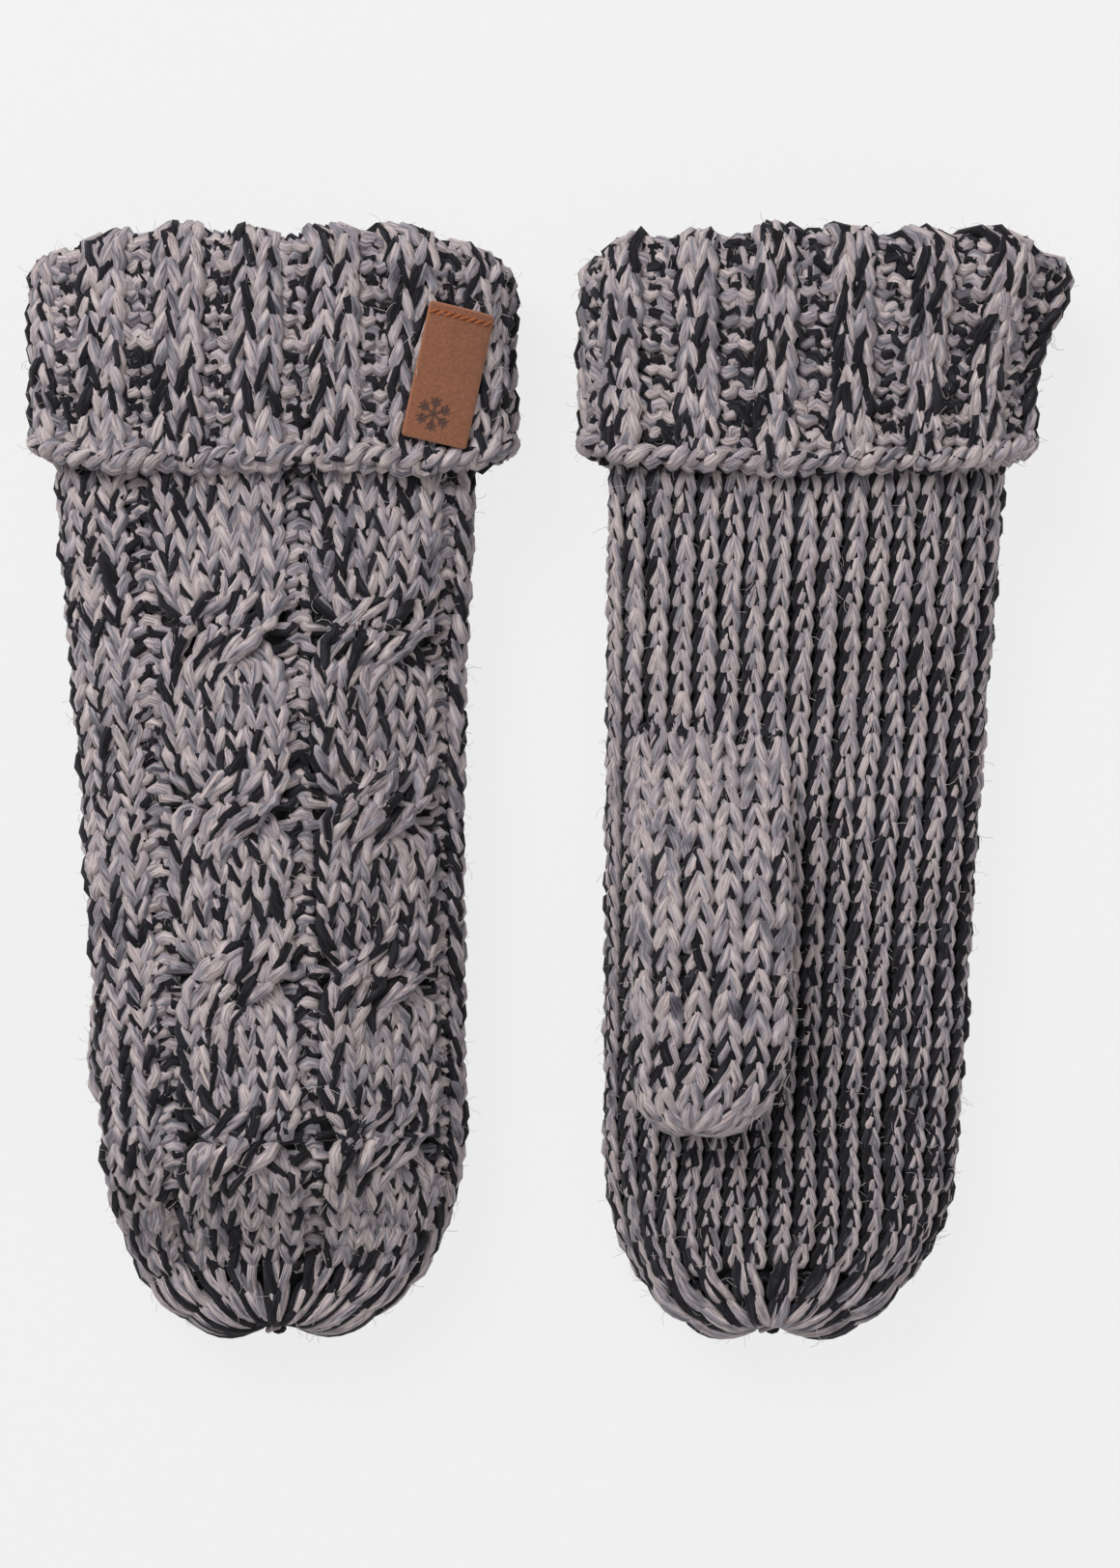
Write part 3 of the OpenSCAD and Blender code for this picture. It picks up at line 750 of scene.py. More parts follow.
def sweep(name, runs, sides, material):
    """One ply along each run, as one mesh. A run is its points, their thickness and place along the yarn, all in
    millimetres, and a tone."""
    points = np.concatenate([r[0] for r in runs]) * 0.001
    values = {"thick": np.concatenate([r[1] for r in runs]) * 0.001, "along": np.concatenate([r[2] for r in runs]),
              "tone": np.concatenate([np.full(len(r[0]), r[3]) for r in runs])}
    mesh = bpy.data.meshes.new(name + "_path")
    mesh.vertices.add(len(points))
    mesh.vertices.foreach_set("co", points.astype(np.float32).ravel())
    counts = np.array([len(r[0]) for r in runs])
    first = np.ones(len(points), bool)
    first[np.concatenate([[0], np.cumsum(counts)[:-1]])] = False
    ends = np.flatnonzero(first)
    mesh.edges.add(len(ends))
    mesh.edges.foreach_set("vertices", np.stack([ends - 1, ends], 1).astype(np.int32).ravel())
    for key, value in values.items():
        mesh.attributes.new(key, "FLOAT", "POINT").data.foreach_set("value", value.astype(np.float32))
    mesh.update()
    made = through(yarn_tree(), mesh, sides=sides, material=material)
    lay_map(made)
    return made


def lay_map(mesh):
    """The map the yarn's pattern lies on: along the ply one way, lane and side of the ply the other."""
    values = {}
    for key in ("along", "tone", "turn"):
        values[key] = np.zeros(len(mesh.vertices), np.float32)
        mesh.attributes[key].data.foreach_get("value", values[key])
    a = np.mod(values["along"] / MAP_LENGTH, 2.0)
    a = np.where(a > 1, 2 - a, a)
    lane = np.floor(values["tone"] * MAP_LANES).clip(0, MAP_LANES - 1)
    set_map(mesh, 0.004 + 0.992 * a, (lane + 0.04 + 0.92 * values["turn"]) / MAP_LANES)
    for key in ("along", "tone", "turn", "thick"):
        if key in mesh.attributes:
            mesh.attributes.remove(mesh.attributes[key])


def set_map(mesh, a, b):
    loops = np.zeros(len(mesh.loops), np.int32)
    mesh.loops.foreach_get("vertex_index", loops)
    uv = np.stack([a[loops], b[loops]], 1).astype(np.float32)
    mesh.uv_layers.new(name="OFBake").data.foreach_set("uv", uv.ravel())


def joined(name, meshes):
    """Several meshes as one object, each keeping its material."""
    objects = [link_object(f"{name}_{i}", m) for i, m in enumerate(meshes)]
    if len(objects) > 1:
        with bpy.context.temp_override(active_object=objects[0], object=objects[0], selected_objects=objects,
                                       selected_editable_objects=objects):
            bpy.ops.object.join()
    objects[0].name = objects[0].data.name = name
    return objects[0]


def finish_piece(name, meshes, body, slot, *nodes):
    obj = joined(name, meshes)
    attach(obj, body)
    if nodes:
        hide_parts(*nodes)
    return obj


def mesh_from(name, points, faces, material):
    mesh = bpy.data.meshes.new(name)
    mesh.from_pydata([tuple(p) for p in np.asarray(points) * 0.001], [], faces)
    mesh.validate()
    mesh.polygons.foreach_set("use_smooth", [True] * len(mesh.polygons))
    mesh.materials.append(material)
    return mesh


def wall(name, surface, rows, columns, depth, thickness, material):
    """A smooth wall of cloth lying under the stitches, thickened inwards and closed at both ends."""
    v, u = np.meshgrid(rows, np.linspace(0, surface.columns, columns + 1)[:-1], indexing="ij")
    outer, _ = surface.place(u, v, np.full(u.shape, -depth))
    inner, _ = surface.place(u, v, np.full(u.shape, -depth - thickness))
    nr, nc = u.shape
    size = nr * nc
    # Round the section: out along the outside, over the end, back along the inside and over the other end.
    lines = [i * nc for i in range(nr)] + [size + i * nc for i in reversed(range(nr))]
    faces = []
    for k, a in enumerate(lines):
        b = lines[(k + 1) % len(lines)]
        for j in range(nc):
            face = (a + j, a + (j + 1) % nc, b + (j + 1) % nc, b + j)
            faces.append(face if surface.outward > 0 else face[::-1])
    return mesh_from(name, np.concatenate([outer.reshape(-1, 3), inner.reshape(-1, 3)]), faces, material)


# ---------------------------------------------------------------------------------------------
# Pieces
# ---------------------------------------------------------------------------------------------

LABEL_W, LABEL_L, LABEL_T, LABEL_CORNER = 14.5, 30.5, 1.2, 0.8
LABEL_LEAN = math.radians(-12)
LABEL_X = CUFF_HALF_W - 14.5
LABEL_Y = CUFF_EDGE + 1.2 + (LABEL_L * math.cos(LABEL_LEAN) - LABEL_W * math.sin(LABEL_LEAN)) / 2 - MITTEN_LEN / 2


@functools.cache
def materials():
    c = bpy.context.scene.mitten_colours
    return {
        "pale": wool("Carded wool and acrylic, pale ply",
                     [(0.30, linear("#5f5c65")), (0.42, c.cool_wool), (0.50, c.pale_wool), (0.61, c.warm_wool),
                      (0.76, c.pale_wool)],
                     [(0.28, linear("#5a575d")), (0.42, linear("#c2bec1")), (0.60, linear("#ffffff"))],
                     "MULTIPLY", 0.7, 0.2),
        # The black ply is dyed in the wool, with a few grey fibres caught in it.
        "dark": wool("Carded wool and acrylic, black ply",
                     [(0.30, c.black_wool), (0.54, c.black_wool), (0.76, linear("#37363e"))],
                     [(0.50, linear("#000000")), (0.74, linear("#393841"))], "SCREEN", 0.6, 0.06),
        # Micro-fleece has a dense, dull pile in tufts about 0.8 mm apart, and a soft bloom at its edges.
        "fleece": cloth("Polyester micro-fleece, charcoal", linear("#121215"), c.fleece, 1250.0, 0.0006, 0.3),
        # The backs of the stitches: black wool with grey showing every 2 mm or so, darkened further as painted shade,
        # since they lie in shade behind the outer stitches.
        "backing": cloth("Wool, backs of the stitches", c.black_wool, linear("#4b484e"), 480.0, 0.0008, 0.1),
        # Nubuck is buffed leather: a dull, velvety grain of about 0.6 mm, paler where its cut edges are rubbed, and
        # darker and smoother where it was pressed.
        "leather": cloth("Nubuck leather, tan", linear("#744a35"), c.leather, 1500.0, 0.00025, 0.15,
                         (c.pressed_leather, linear("#a06a4c"))),
        # Polyester thread is tightly twisted and catches a little light; its twist shows as 0.5 mm grain.
        "label thread": cloth("Polyester thread, rust", linear("#7d4426"), c.leather_thread, 1900.0, 0.0002, 0.1),
        "sewing thread": cloth("Polyester thread, charcoal", linear("#1c1b1f"), c.sewing_thread,
                               1900.0, 0.0002, 0.1),
        # Loose fibres are single wool hairs, nearly clear, so they look paler than the yarn they come from.
        "fibres": cloth("Loose wool fibres", linear("#b5b0b4"), c.warm_wool, 600.0, 0.0001, 0.2),
    }


@functools.cache
def surface(kind, side):
    return kind(side)


def mittens():
    """Each mitten in turn: its side, the word that its pieces' names start with, its hand and its thumb."""
    for side in (LEFT, RIGHT):
        yield side, SIDE_NAME[side], surface(HandSurface, side), surface(ThumbSurface, side)


def cuff_top(x):
    return CUFF_Z + CUFF_HALF_T * arch(np.clip(np.abs(x) / CUFF_HALF_W, 0, 0.999), CUFF_POWER)


def on_label(x, y):
    """A point of the left cuff in the label's own directions, from its middle."""
    return turned(x - LABEL_X - LEFT * CUFF_X, y - LABEL_Y, -LABEL_LEAN)


def press_under_label(points, r):
    """The label is sewn down tight, so the ribs under it lie flat."""
    a, b = on_label(points[..., 0], points[..., 1])
    inside = (np.abs(a) < LABEL_W / 2 + 0.3) & (np.abs(b) < LABEL_L / 2 + 0.3) & (points[..., 2] > CUFF_Z)
    flat = cuff_top(points[..., 0] - LEFT * CUFF_X) - r - 0.1
    points[..., 2] = np.where(inside, np.minimum(points[..., 2], flat), points[..., 2])


def knit_meshes(name, surface, rows, columns, seed, look, keep=None, press=None):
    """One block of fabric as the meshes of its pale and dark plies. keep says which points are worked."""
    u, v, w, thick, t = knit_courses(surface, rows, columns, seed, look)
    if len(columns) == surface.columns:
        # All the way round: each course runs on into its own start.
        u = np.concatenate([u, u[:, :1] + len(columns)], 1)
        v, w, thick, t = (np.concatenate([x, x[:, :1]], 1) for x in (v, w, thick, t))
    pale, r_pale, dark, r_dark, s = ply_lines(surface, u, v, w, thick, t, seed, look)
    if press:
        press(pale, r_pale)
        press(dark, r_dark)
    tones = np.random.default_rng(seed + 77).uniform(0, 1, (2, len(rows)))
    runs = {"pale": [], "dark": []}
    for i in range(len(rows)):
        mask = np.ones(u.shape[1], bool) if keep is None else keep(u[i], v[i], pale[i])
        for part in np.split(np.arange(u.shape[1]), np.flatnonzero(np.diff(mask.astype(int))) + 1):
            if mask[part[0]] and len(part) > 5:
                runs["pale"].append((pale[i][part], r_pale[i][part], s[i][part], tones[0, i]))
                runs["dark"].append((dark[i][part], r_dark[i][part], s[i][part] + 31, tones[1, i]))
    return [sweep(f"{name}_{kind}", runs[kind], sides, materials()[kind])
            for kind, sides in (("pale", 6), ("dark", 4))]


def plied(name, points, r, pitch):
    """A yarn of two plies, pale and black, twisted round each other along a path."""
    step = np.linalg.norm(np.diff(points, axis=0), axis=-1)
    s = np.concatenate([[0], np.cumsum(step)])
    fine = np.linspace(0, s[-1], max(12, int(s[-1] / pitch * 9)))
    path = np.stack([np.interp(fine, s, points[:, k]) for k in range(3)], 1)
    along = unit(np.gradient(path, axis=0))
    up = np.array([0.0, 0.0, 1.0]) if abs(along[:, 2]).mean() < 0.5 else np.array([0.0, 1.0, 0.0])
    side = unit(np.cross(along, up))
    over = np.cross(side, along)
    made = []
    for kind, start, size, away, tone in (("pale", 0.0, 0.75, 0.55, 0.2), ("dark", math.pi, 0.54, 0.8, 0.7)):
        a = 2 * math.pi * fine / pitch + start
        line = path + (np.cos(a)[:, None] * side + np.sin(a)[:, None] * over) * r * away
        made.append(sweep(f"{name}_{kind}", [(line, np.full(len(line), r * size), fine, tone)], 6, materials()[kind]))
    return made


def ring(centre, r):
    """A ring of yarn drawn tight round the Y direction."""
    a = np.linspace(0, 2 * math.pi, 49)
    return np.array(centre) + r * np.stack([np.cos(a), 0 * a, np.sin(a)], 1)


def thickness(name, description, default, low, high):
    return bpy.props.FloatProperty(name=name, description=description, default=default, min=low, max=high,
                                   unit="LENGTH", subtype="DISTANCE")


class MittenSizes(bpy.types.PropertyGroup):
    """Sizes that can be changed without touching the frame"""

    pale_ply: thickness("Pale ply", "Thickness of the pale ply", 0.0024, 0.0012, 0.0032)
    dark_ply: thickness("Black ply", "Thickness of the black ply", 0.0018, 0.0008, 0.0026)
    edge_ply: thickness("Cast-on ply", "Thickness of each strand of the cuff's edge", 0.0029, 0.002, 0.004)
    seam_yarn: thickness("Seam yarn", "Thickness of the yarn in seams and gathers", 0.0019, 0.001, 0.003)
    fibre_length: thickness("Fibre length", "Length of the loose fibres", 0.0028, 0.001, 0.008)
    fibres: bpy.props.FloatProperty(name="Fibres", description="Loose fibres on a square metre of yarn",
                                    default=14000.0, min=0.0, max=90000.0)


def colour(name, value, description):
    return bpy.props.FloatVectorProperty(name=name, description=description, subtype="COLOR", size=4, min=0, max=1,
                                         default=linear(value))


class MittenColours(bpy.types.PropertyGroup):
    """Colours of the yarns, the linings and the label"""

    pale_wool: colour("Pale wool", "#beb3b7", "Most of the pale ply")
    warm_wool: colour("Warm wool", "#d0c2bf", "Patches of the pale ply that took the dye warmer")
    cool_wool: colour("Cool wool", "#99959d", "Patches of the pale ply with grey fibres carded in")
    black_wool: colour("Black wool", "#19171b", "The black ply")
    fleece: colour("Fleece", "#2c2c32", "The linings")
    leather: colour("Leather", "#8e5c44", "The label's lighter grain")
    pressed_leather: colour("Pressed leather", "#4a3530", "The mark pressed into the label")
    leather_thread: colour("Label thread", "#b5683c", "The stitches that hold the label")
    sewing_thread: colour("Sewing thread", "#3a3a40", "The stitches that hold the linings")


class MITTENS_OT_hands(bpy.types.Operator):
    """Knit both hands: a plain palm, a back with two cables, and fingertips drawn in by longer loops"""

    bl_idname = "mittens.hands"
    bl_label = "Hands"

    def execute(self, context):
        for side, word, hand, thumb in mittens():
            def outside_thumb(u, v, p):
                on_palm = (p[:, 2] > 2 * HAND_HALF_T) if side == RIGHT else (p[:, 2] < 24)
                near = np.hypot(p[:, 0] - thumb.neck[0], p[:, 1] - thumb.neck[1]) < NECK_R - 2.5
                return ~(near & on_palm)

            halves = [list(range(hand.top_columns)), list(range(hand.top_columns, hand.columns))]
            back, palm = halves if side == LEFT else halves[::-1]
            rows, seed = np.arange(-1, 39), 104 + side * 10
            meshes = knit_meshes(f"{word}_hand_back", hand, rows, back, seed, BACK_LOOK)
            finish_piece(f"{word}_hand_back", meshes, f"{word}_mitten", "marled_knit")
            meshes = knit_meshes(f"{word}_hand_palm", hand, rows, palm, seed, PALM_LOOK, outside_thumb)
            finish_piece(f"{word}_hand_palm", meshes, f"{word}_mitten", "marled_knit", f"{word}_hand_shell")
            tip = surface(TipSurface, side)
            meshes = knit_meshes(f"{word}_fingertip", tip, np.arange(0, 2), list(range(tip.columns)), 140 + side,
                                 dict(TIP_LOOK, grows=side))
            finish_piece(f"{word}_fingertip", meshes, f"{word}_mitten", "marled_knit")
        return {"FINISHED"}


class MITTENS_OT_cuffs(bpy.types.Operator):
    """Knit the ribbed cuffs from a chunky cast-on edge and turn them up"""

    bl_idname = "mittens.cuffs"
    bl_label = "Cuffs"

    def execute(self, context):
        r = context.scene.mitten_sizes.edge_ply * 500
        for side, word, _, _ in mittens():
            cuff = surface(CuffSurface, side)
            meshes = knit_meshes(f"{word}_cuff", cuff, np.arange(0, 13), list(range(cuff.columns)), 300 + side,
                                 CUFF_LOOK, press=press_under_label if side == LEFT else None)
            # The cast-on edge: two strands laid over and under each other, a loop for every two columns.
            u = np.linspace(0, cuff.columns, cuff.columns * 7 + 1)[None, :]
            along = u[0] * 6.2          # millimetres of yarn to a column
            for k in range(2):
                a = math.pi * (u + k)
                v = -0.42 + 0.25 * np.sin(a) + 0.09 * drift(u * 0.5, u * 0, 320 + side)
                line, _ = cuff.place(u, v, 1.2 * np.cos(a))
                thick = r * (0.84 + 0.26 * np.cos(a) + 0.08 * drift(u * 0.8, u * 0, 330 + k))
                line[..., 2] = np.maximum(line[..., 2], thick * 0.95)
                if side == LEFT:
                    press_under_label(line, thick)
                run = (line[0], thick[0], along, 0.3 + 0.4 * k)
                meshes.append(sweep(f"{word}_edge_{k}", [run], 8, materials()["pale"]))
            v = -0.38 + 0.12 * np.sin(math.pi * u + 0.8)
            line, _ = cuff.place(u, v, 1.3 + 0.7 * np.cos(math.pi * 2 * u))
            line[..., 2] = np.maximum(line[..., 2], 0.9)
            run = (line[0], np.full(u.shape[1], 0.8), along, 0.6)
            meshes.append(sweep(f"{word}_edge_dark", [run], 5, materials()["dark"]))
            finish_piece(f"{word}_cuff_rib", meshes, f"{word}_mitten", "marled_rib", f"{word}_cuff")
            # A dark wall under the rib's stitches: the black wool of the stitches' backs, darkened further as painted
            # shade that shows between the stitches.
            mesh = wall(f"{word}_cuff_backing", cuff, np.linspace(0.1, 9.0, 34), 224, 3.3, 0.7, materials()["backing"])
            finish_piece(f"{word}_cuff_backing", [mesh], f"{word}_mitten", "marled_rib")
        return {"FINISHED"}


class MITTENS_OT_thumbs(bpy.types.Operator):
    """Knit the thumbs from the stitches picked up across the palm"""

    bl_idname = "mittens.thumbs"
    bl_label = "Thumbs"

    def execute(self, context):
        def worked(u, v, p):
            # Under the base the thumb lies flat on the palm, so only its upper stitches are worked there.
            around = np.mod(u, ThumbSurface.columns)
            return ~((around > 6.1) & (around < 11.9) & (v < 4.2))

        for side, word, _, thumb in mittens():
            meshes = knit_meshes(f"{word}_thumb", thumb, np.arange(0, int(thumb.last_row) + 1),
                                 list(range(thumb.columns)), 500 + side, THUMB_LOOK, worked)
            finish_piece(f"{word}_thumb_knit", meshes, f"{word}_thumb", "marled_knit", f"{word}_thumb_shell")
        return {"FINISHED"}


class MITTENS_OT_linings(bpy.types.Operator):
    """Sew the fleece linings into the hands and thumbs, with the threads that hold their hems"""

    bl_idname = "mittens.linings"
    bl_label = "Linings"

    def execute(self, context):
        for _, word, hand, thumb in mittens():
            # Rows lie closer where the tip is rounded.
            tube = np.linspace(-7.6, hand.cap_row, 60)
            tip = np.linspace(hand.cap_row + 0.3, hand.last_row - 0.35, 26)
            self.line(word, "hand", f"{word}_mitten", hand, np.concatenate([tube, tip]), 144, 2.7, 1.2)
            tube = np.linspace(4.5, thumb.cap_row, 24)
            tip = np.linspace(thumb.cap_row + 0.2, thumb.last_row - 0.3, 16)
            self.line(word, "thumb", f"{word}_thumb", thumb, np.concatenate([tube, tip]), 48, 1.9, 1.0)
            hem = frame["nodes"][f"{word}_hem_stitches"]
            hem.data.materials.clear()
            hem.data.materials.append(materials()["sewing thread"])
        return {"FINISHED"}

    def line(self, word, part, body, surface, rows, columns, depth, thickness):
        name = f"{word}_{part}_fleece"
        mesh = wall(name, surface, rows, columns, depth, thickness, materials()["fleece"])
        finish_piece(name, [mesh], body, "fleece", f"{word}_{part}_lining")


class MITTENS_OT_yarn_seams(bpy.types.Operator):
    """Draw in the fingertips and thumb tips and sew the side and thumb seams with doubled yarn"""

    bl_idname = "mittens.yarn_seams"
    bl_label = "Seams and gathers"

    def execute(self, context):
        r = context.scene.mitten_sizes.seam_yarn * 500
        for side, word, hand, thumb in mittens():
            v = np.linspace(-1.1, hand.cap_row + 6, 120)
            seam, _ = hand.place(np.full(v.shape, float(hand.top_columns)), v, -3.4 + 0.4 * np.sin(v * 4))
            self.sew(word, "side_seam", "mitten", seam, r, 7.0)
            low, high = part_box(f"{word}_tip_gather")
            middle = np.array((low + high) / 2) * 1000
            self.sew(word, "tip_gather", "mitten", ring(middle + [0, 2.6, 0], 1.5), r, 6.0)
            tip, _ = thumb.place(np.array([0.0, 3.0, 6.0, 9.0]), np.full(4, thumb.last_row), np.zeros(4))
            self.sew(word, "thumb_gather", "thumb", ring(tip.mean(axis=0) + [0, 1.4, 0], 1.1), r * 0.8, 5.0)
            # The picked-up stitches' seam: across the base line, and a little way down both sides.
            a = np.radians(np.linspace(-12, 192, 90))
            x, y = 16.2 * signed_power(np.cos(a), 0.4), 0.6 + NECK_R * signed_power(np.sin(a), 0.4)
            self.sew(word, "thumb_seam", "thumb", thumb.put(x, y, thumb.palm_drop(x) - 1.2), r, 6.5)
        return {"FINISHED"}

    def sew(self, word, part, body, path, r, pitch):
        name = f"{word}_{part}"
        finish_piece(f"{name}_yarn", plied(name, path, r, pitch), f"{word}_{body}", "marled_yarn", name)


class MITTENS_OT_label(bpy.types.Operator):
    """Press a snow crystal into the leather label, bend it over the left cuff and sew it on"""

    bl_idname = "mittens.label"
    bl_label = "Label"

    def execute(self, context):
        nx, ny = 53, 111
        a, b = np.meshgrid(np.linspace(-1, 1, nx) * LABEL_W / 2, np.linspace(-1, 1, ny) * LABEL_L / 2)
        over_x, over_y = np.abs(a) - LABEL_W / 2 + LABEL_CORNER, np.abs(b) - LABEL_L / 2 + LABEL_CORNER
        corner = (over_x > 0) & (over_y > 0) & (np.hypot(over_x, over_y) > LABEL_CORNER)
        pull = np.where(corner, LABEL_CORNER / (np.hypot(over_x, over_y) + 1e-9), 1)
        a = np.where(corner, np.sign(a) * (LABEL_W / 2 - LABEL_CORNER + over_x * pull), a)
        b = np.where(corner, np.sign(b) * (LABEL_L / 2 - LABEL_CORNER + over_y * pull), b)
        inside = np.minimum(LABEL_W / 2 - np.abs(a), LABEL_L / 2 - np.abs(b))
        rim = 1 - smooth(inside / 0.7)
        pressed = self.crystal(a + 1.2, b + 9.3)
        seam = np.exp(-((b - LABEL_L / 2 + 2.2) / 0.55) ** 2)
        top = LABEL_T / 2 - 0.34 * rim ** 2 - 0.26 * pressed - 0.14 * seam + 0.04 * drift(a * 0.5, b * 0.5, 9)
        x, y = self.lay(a, b)
        rest = cuff_top(x - LEFT * CUFF_X) + 0.1 + LABEL_T / 2
        points = np.concatenate([np.stack([x, y, rest + top], -1).reshape(-1, 3),
                                 np.stack([x, y, rest - LABEL_T / 2 + 0.30 * rim ** 2], -1).reshape(-1, 3)])
        n = nx * ny
        faces = []
        for i in range(ny - 1):
            for j in range(nx - 1):
                k = i * nx + j
                faces.append((k, k + 1, k + nx + 1, k + nx))
                faces.append((n + k, n + k + nx, n + k + nx + 1, n + k + 1))
        edge = list(range(nx - 1)) + [i * nx + nx - 1 for i in range(ny - 1)]
        edge += [(ny - 1) * nx + j for j in range(nx - 1, 0, -1)] + [i * nx for i in range(ny - 1, 0, -1)]
        faces += [(p, n + p, n + q, q) for p, q in zip(edge, edge[1:] + edge[:1])]
        mesh = mesh_from("leather", points, faces, materials()["leather"])
        for name, value in (("pressed", pressed), ("rim", rim ** 2)):
            underneath = value if name == "rim" else 0 * value
            data = np.concatenate([value.ravel(), underneath.ravel()])
            mesh.attributes.new(name, "FLOAT", "POINT").data.foreach_set("value", data.astype(np.float32))
        finish_piece("leather_label_nubuck", [mesh], "left_mitten", "tan_leather", "leather_label")

        rng = np.random.default_rng(8)
        runs = []
        for i in range(8):
            middle = (i - 3.5) * (LABEL_W - 2.6) / 7
            turn = math.radians(35) + rng.normal(0, 0.08)
            t = np.linspace(-1, 1, 9)
            a, b = middle + 0.95 * t * math.cos(turn), LABEL_L / 2 - 2.2 + 0.95 * t * math.sin(turn)
            x, y = self.lay(a, b)
            z = cuff_top(x - LEFT * CUFF_X) + 0.1 + LABEL_T + 0.28 * (1 - t ** 4) - 0.12
            runs.append((np.stack([x, y, z], 1), np.full(9, 0.34), 2.0 * t + 5 * i, 0.1 * i))
        mesh = sweep("label_stitches", runs, 6, materials()["label thread"])
        finish_piece("label_sewing", [mesh], "left_mitten", "label_thread", "label_stitches")
        return {"FINISHED"}

    def lay(self, a, b):
        """A point of the label, from its middle and in its own directions, where it lies on the cuff."""
        x, y = turned(a, b, LABEL_LEAN)
        return x + LABEL_X + LEFT * CUFF_X, y + LABEL_Y

    def crystal(self, a, b, arm=3.7, half=0.22):
        """A plain six-armed snow crystal: 1 where the die pressed the leather and 0 elsewhere."""
        nearest = np.full(a.shape, 1e3)
        for k in range(6):
            p, q = turned(a, b, -math.pi / 3 * k - math.pi / 6)
            lines = [((0, 0), (arm, 0))]
            lines += [((arm * f, 0), (arm * f + 0.9, g * 0.9)) for f in (0.45, 0.68) for g in (-1, 1)]
            for (x0, y0), (x1, y1) in lines:
                dx, dy = x1 - x0, y1 - y0
                f = np.clip(((p - x0) * dx + (q - y0) * dy) / (dx * dx + dy * dy), 0, 1)
                nearest = np.minimum(nearest, np.hypot(p - x0 - f * dx, q - y0 - f * dy))
        return 1 - smooth((nearest - half * 0.6) / half)


class MITTENS_OT_fibres(bpy.types.Operator):
    """Raise loose fibres out of the wool"""

    bl_idname = "mittens.fibres"
    bl_label = "Loose fibres"

    def execute(self, context):
        sizes = context.scene.mitten_sizes
        knitted = {"mitten": ("hand_back", "hand_palm", "fingertip", "cuff_rib"), "thumb": ("thumb_knit",)}
        for part, word in (("mitten", "left"), ("mitten", "right"), ("thumb", "left"), ("thumb", "right")):
            meshes = []
            for k, piece in enumerate(knitted[part]):
                wool_mesh = bpy.data.objects[f"{word}_{piece}"].data.copy()
                made = through(fibre_tree(), wool_mesh, per_square_metre=sizes.fibres, length=sizes.fibre_length,
                               half_thickness=4e-5, seed=40 + k, material=materials()["fibres"])
                points = np.zeros(len(made.vertices) * 3, np.float32)
                made.vertices.foreach_get("co", points)
                points[2::3] = np.maximum(points[2::3], 0.0002)     # fibres bend where they meet the table
                made.vertices.foreach_set("co", points)
                n = np.arange(len(made.vertices))
                for layer in list(made.uv_layers):
                    made.uv_layers.remove(layer)
                set_map(made, np.mod(n // 12 * 0.618, 1) * 0.97 + 0.01 * (n % 3), (n % 12) // 3 / 3)
                meshes.append(made)
            finish_piece(f"{word}_{part}_fibres", meshes, f"{word}_{part}", "marled_yarn")
        return {"FINISHED"}


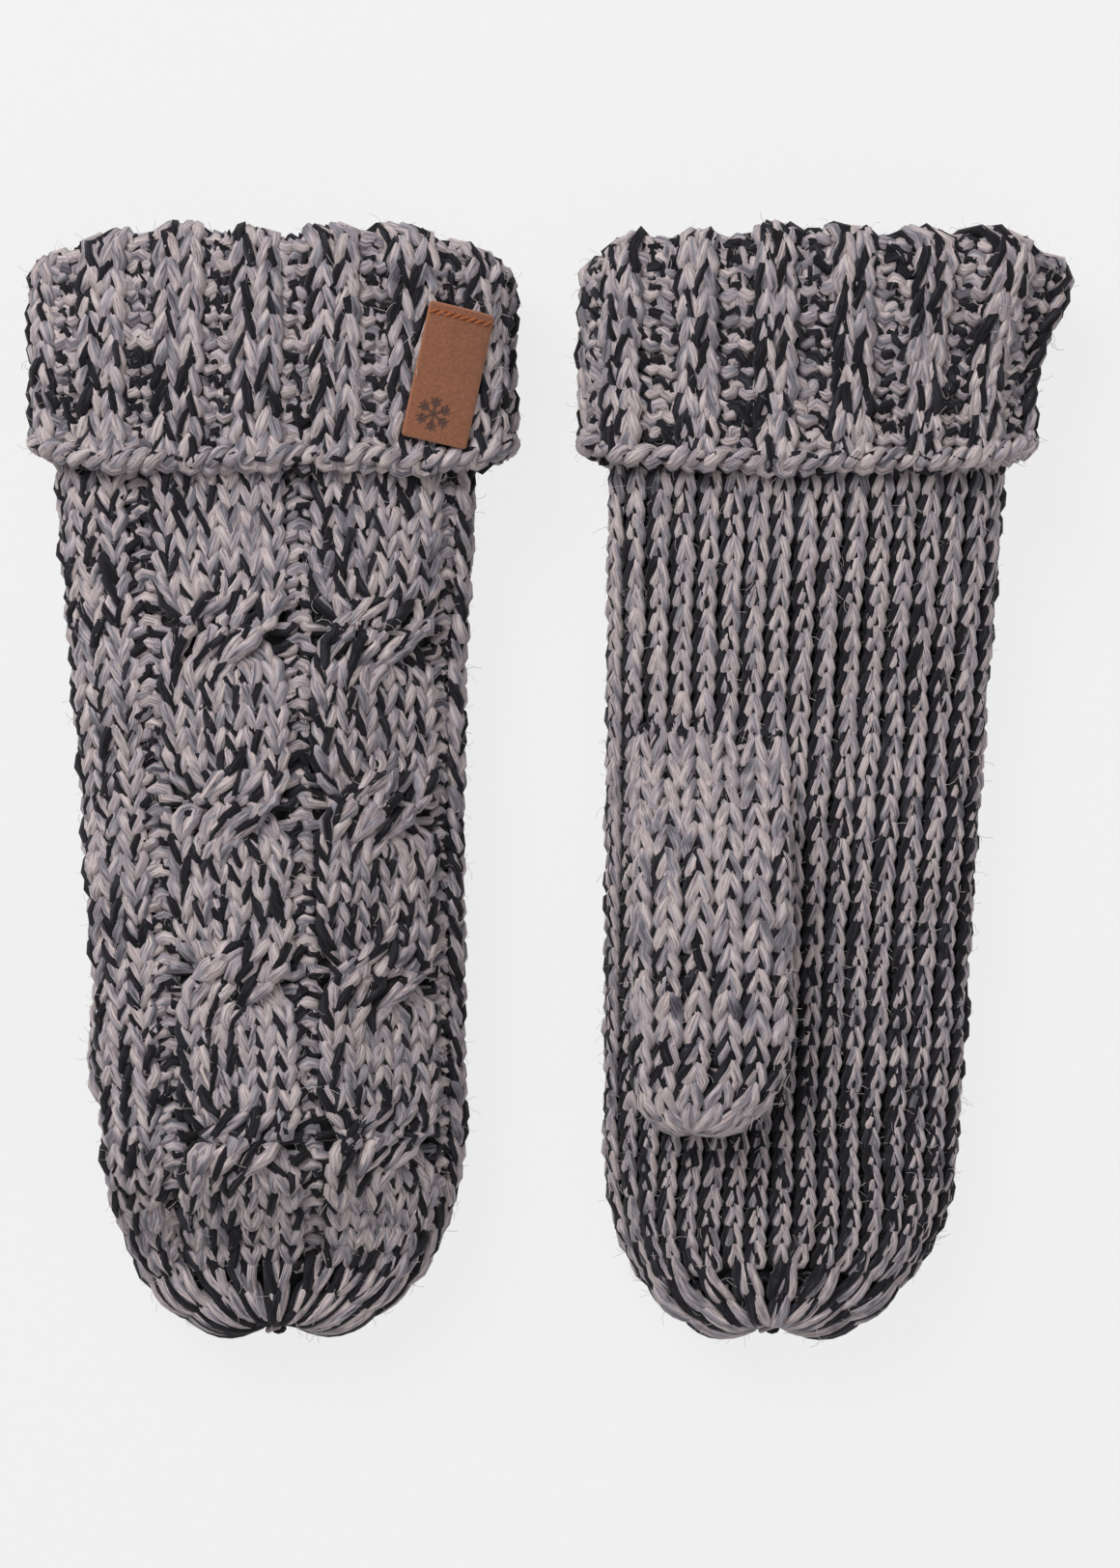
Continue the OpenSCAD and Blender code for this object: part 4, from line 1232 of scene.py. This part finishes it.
class MITTENS_OT_stage(bpy.types.Operator):
    """Lay the pair on a plain pale floor under soft light, seen from straight above"""

    bl_idname = "mittens.stage"
    bl_label = "Stage"

    def execute(self, context):
        # The floor reaches out of view on all sides, half a millimetre under the wool.
        half, drop = 40e3, 0.5
        corners = np.array([(-half, -half, -drop), (half, -half, -drop), (half, half, -drop), (-half, half, -drop)])
        floor = link_object("Floor", mesh_from("Floor", corners, [(0, 1, 2, 3)], self.paper()))
        world = bpy.data.worlds.new("Studio")
        world.use_nodes = True
        world.node_tree.nodes["Background"].inputs["Color"].default_value = (1, 1, 1, 1)
        world.node_tree.nodes["Background"].inputs["Strength"].default_value = 0.42
        context.scene.world = world
        for name, place, size, power in (("Key", (-0.55, 0.75, 1.0), 0.7, 14.0), ("Fill", (0.8, -0.4, 1.2), 1.2, 3.5)):
            light = bpy.data.lights.new(name, "AREA")
            light.shape, light.size, light.energy = "SQUARE", size, power
            lamp = bpy.data.objects.new(name, light)
            lamp.location = place
            lamp.rotation_euler = (Vector((0, 0, 0)) - Vector(place)).to_track_quat("-Z", "Y").to_euler()
            context.scene.collection.objects.link(lamp)
        camera = bpy.data.cameras.new("Overhead")
        camera.lens, camera.sensor_width, camera.sensor_fit = 100, 36, "AUTO"
        camera.clip_start, camera.clip_end = 0.01, 100
        holder = bpy.data.objects.new("Overhead", camera)
        holder.location = (0.0027, 0.0014, 0.994)       # metres, looking straight down
        context.scene.collection.objects.link(holder)
        context.scene.camera = holder
        context.scene.view_settings.view_transform = "Standard"
        return {"FINISHED"}

    def paper(self):
        """Matt white paper lit from below, so that the ground stays even and pale. Its fibres are 2 mm across."""
        material, tree = new_material("Matt white paper")
        coords = add_node(tree, "ShaderNodeTexCoord")
        pulp = add_node(tree, "ShaderNodeTexNoise", links={"Vector": (coords, "Object")}, values={"Scale": 500.0})
        tone = add_node(tree, "ShaderNodeValToRGB", links={"Fac": (pulp, "Fac")},
                        stops=[(0.3, linear("#4e4e4e")), (0.7, linear("#525252"))])
        shader = add_node(tree, "ShaderNodeBsdfPrincipled", links={"Base Color": (tone, "Color")},
                          values={"Roughness": 1.0, "Specular IOR Level": 0.0, "Emission Color": (1, 1, 1, 1),
                                  "Emission Strength": 0.80})
        add_node(tree, "ShaderNodeOutputMaterial", links={"Surface": (shader, "BSDF")})
        return material


OPERATORS = (MITTENS_OT_hands, MITTENS_OT_cuffs, MITTENS_OT_thumbs, MITTENS_OT_linings, MITTENS_OT_yarn_seams,
             MITTENS_OT_label, MITTENS_OT_fibres, MITTENS_OT_stage)


class MITTENS_PT_panel(bpy.types.Panel):
    """Everything that builds the pair, in order"""

    bl_idname = "MITTENS_PT_panel"
    bl_label = "Mittens"
    bl_space_type = "VIEW_3D"
    bl_region_type = "UI"
    bl_category = "Mittens"

    def draw(self, context):
        for group in (context.scene.mitten_sizes, context.scene.mitten_colours):
            for key in group.__annotations__:
                self.layout.prop(group, key)
        for operator in OPERATORS:
            self.layout.operator(operator.bl_idname)


CLASSES = (MittenSizes, MittenColours) + OPERATORS + (MITTENS_PT_panel,)


def register():
    for cls in CLASSES:
        bpy.utils.register_class(cls)
    bpy.types.Scene.mitten_sizes = bpy.props.PointerProperty(type=MittenSizes)
    bpy.types.Scene.mitten_colours = bpy.props.PointerProperty(type=MittenColours)


def unregister():
    del bpy.types.Scene.mitten_colours
    del bpy.types.Scene.mitten_sizes
    for cls in reversed(CLASSES):
        bpy.utils.unregister_class(cls)


def main():
    register()
    for step in (bpy.ops.mittens.hands, bpy.ops.mittens.cuffs, bpy.ops.mittens.thumbs, bpy.ops.mittens.linings,
                 bpy.ops.mittens.yarn_seams, bpy.ops.mittens.label, bpy.ops.mittens.fibres, bpy.ops.mittens.stage):
        step()


if __name__ == "__main__":
    main()
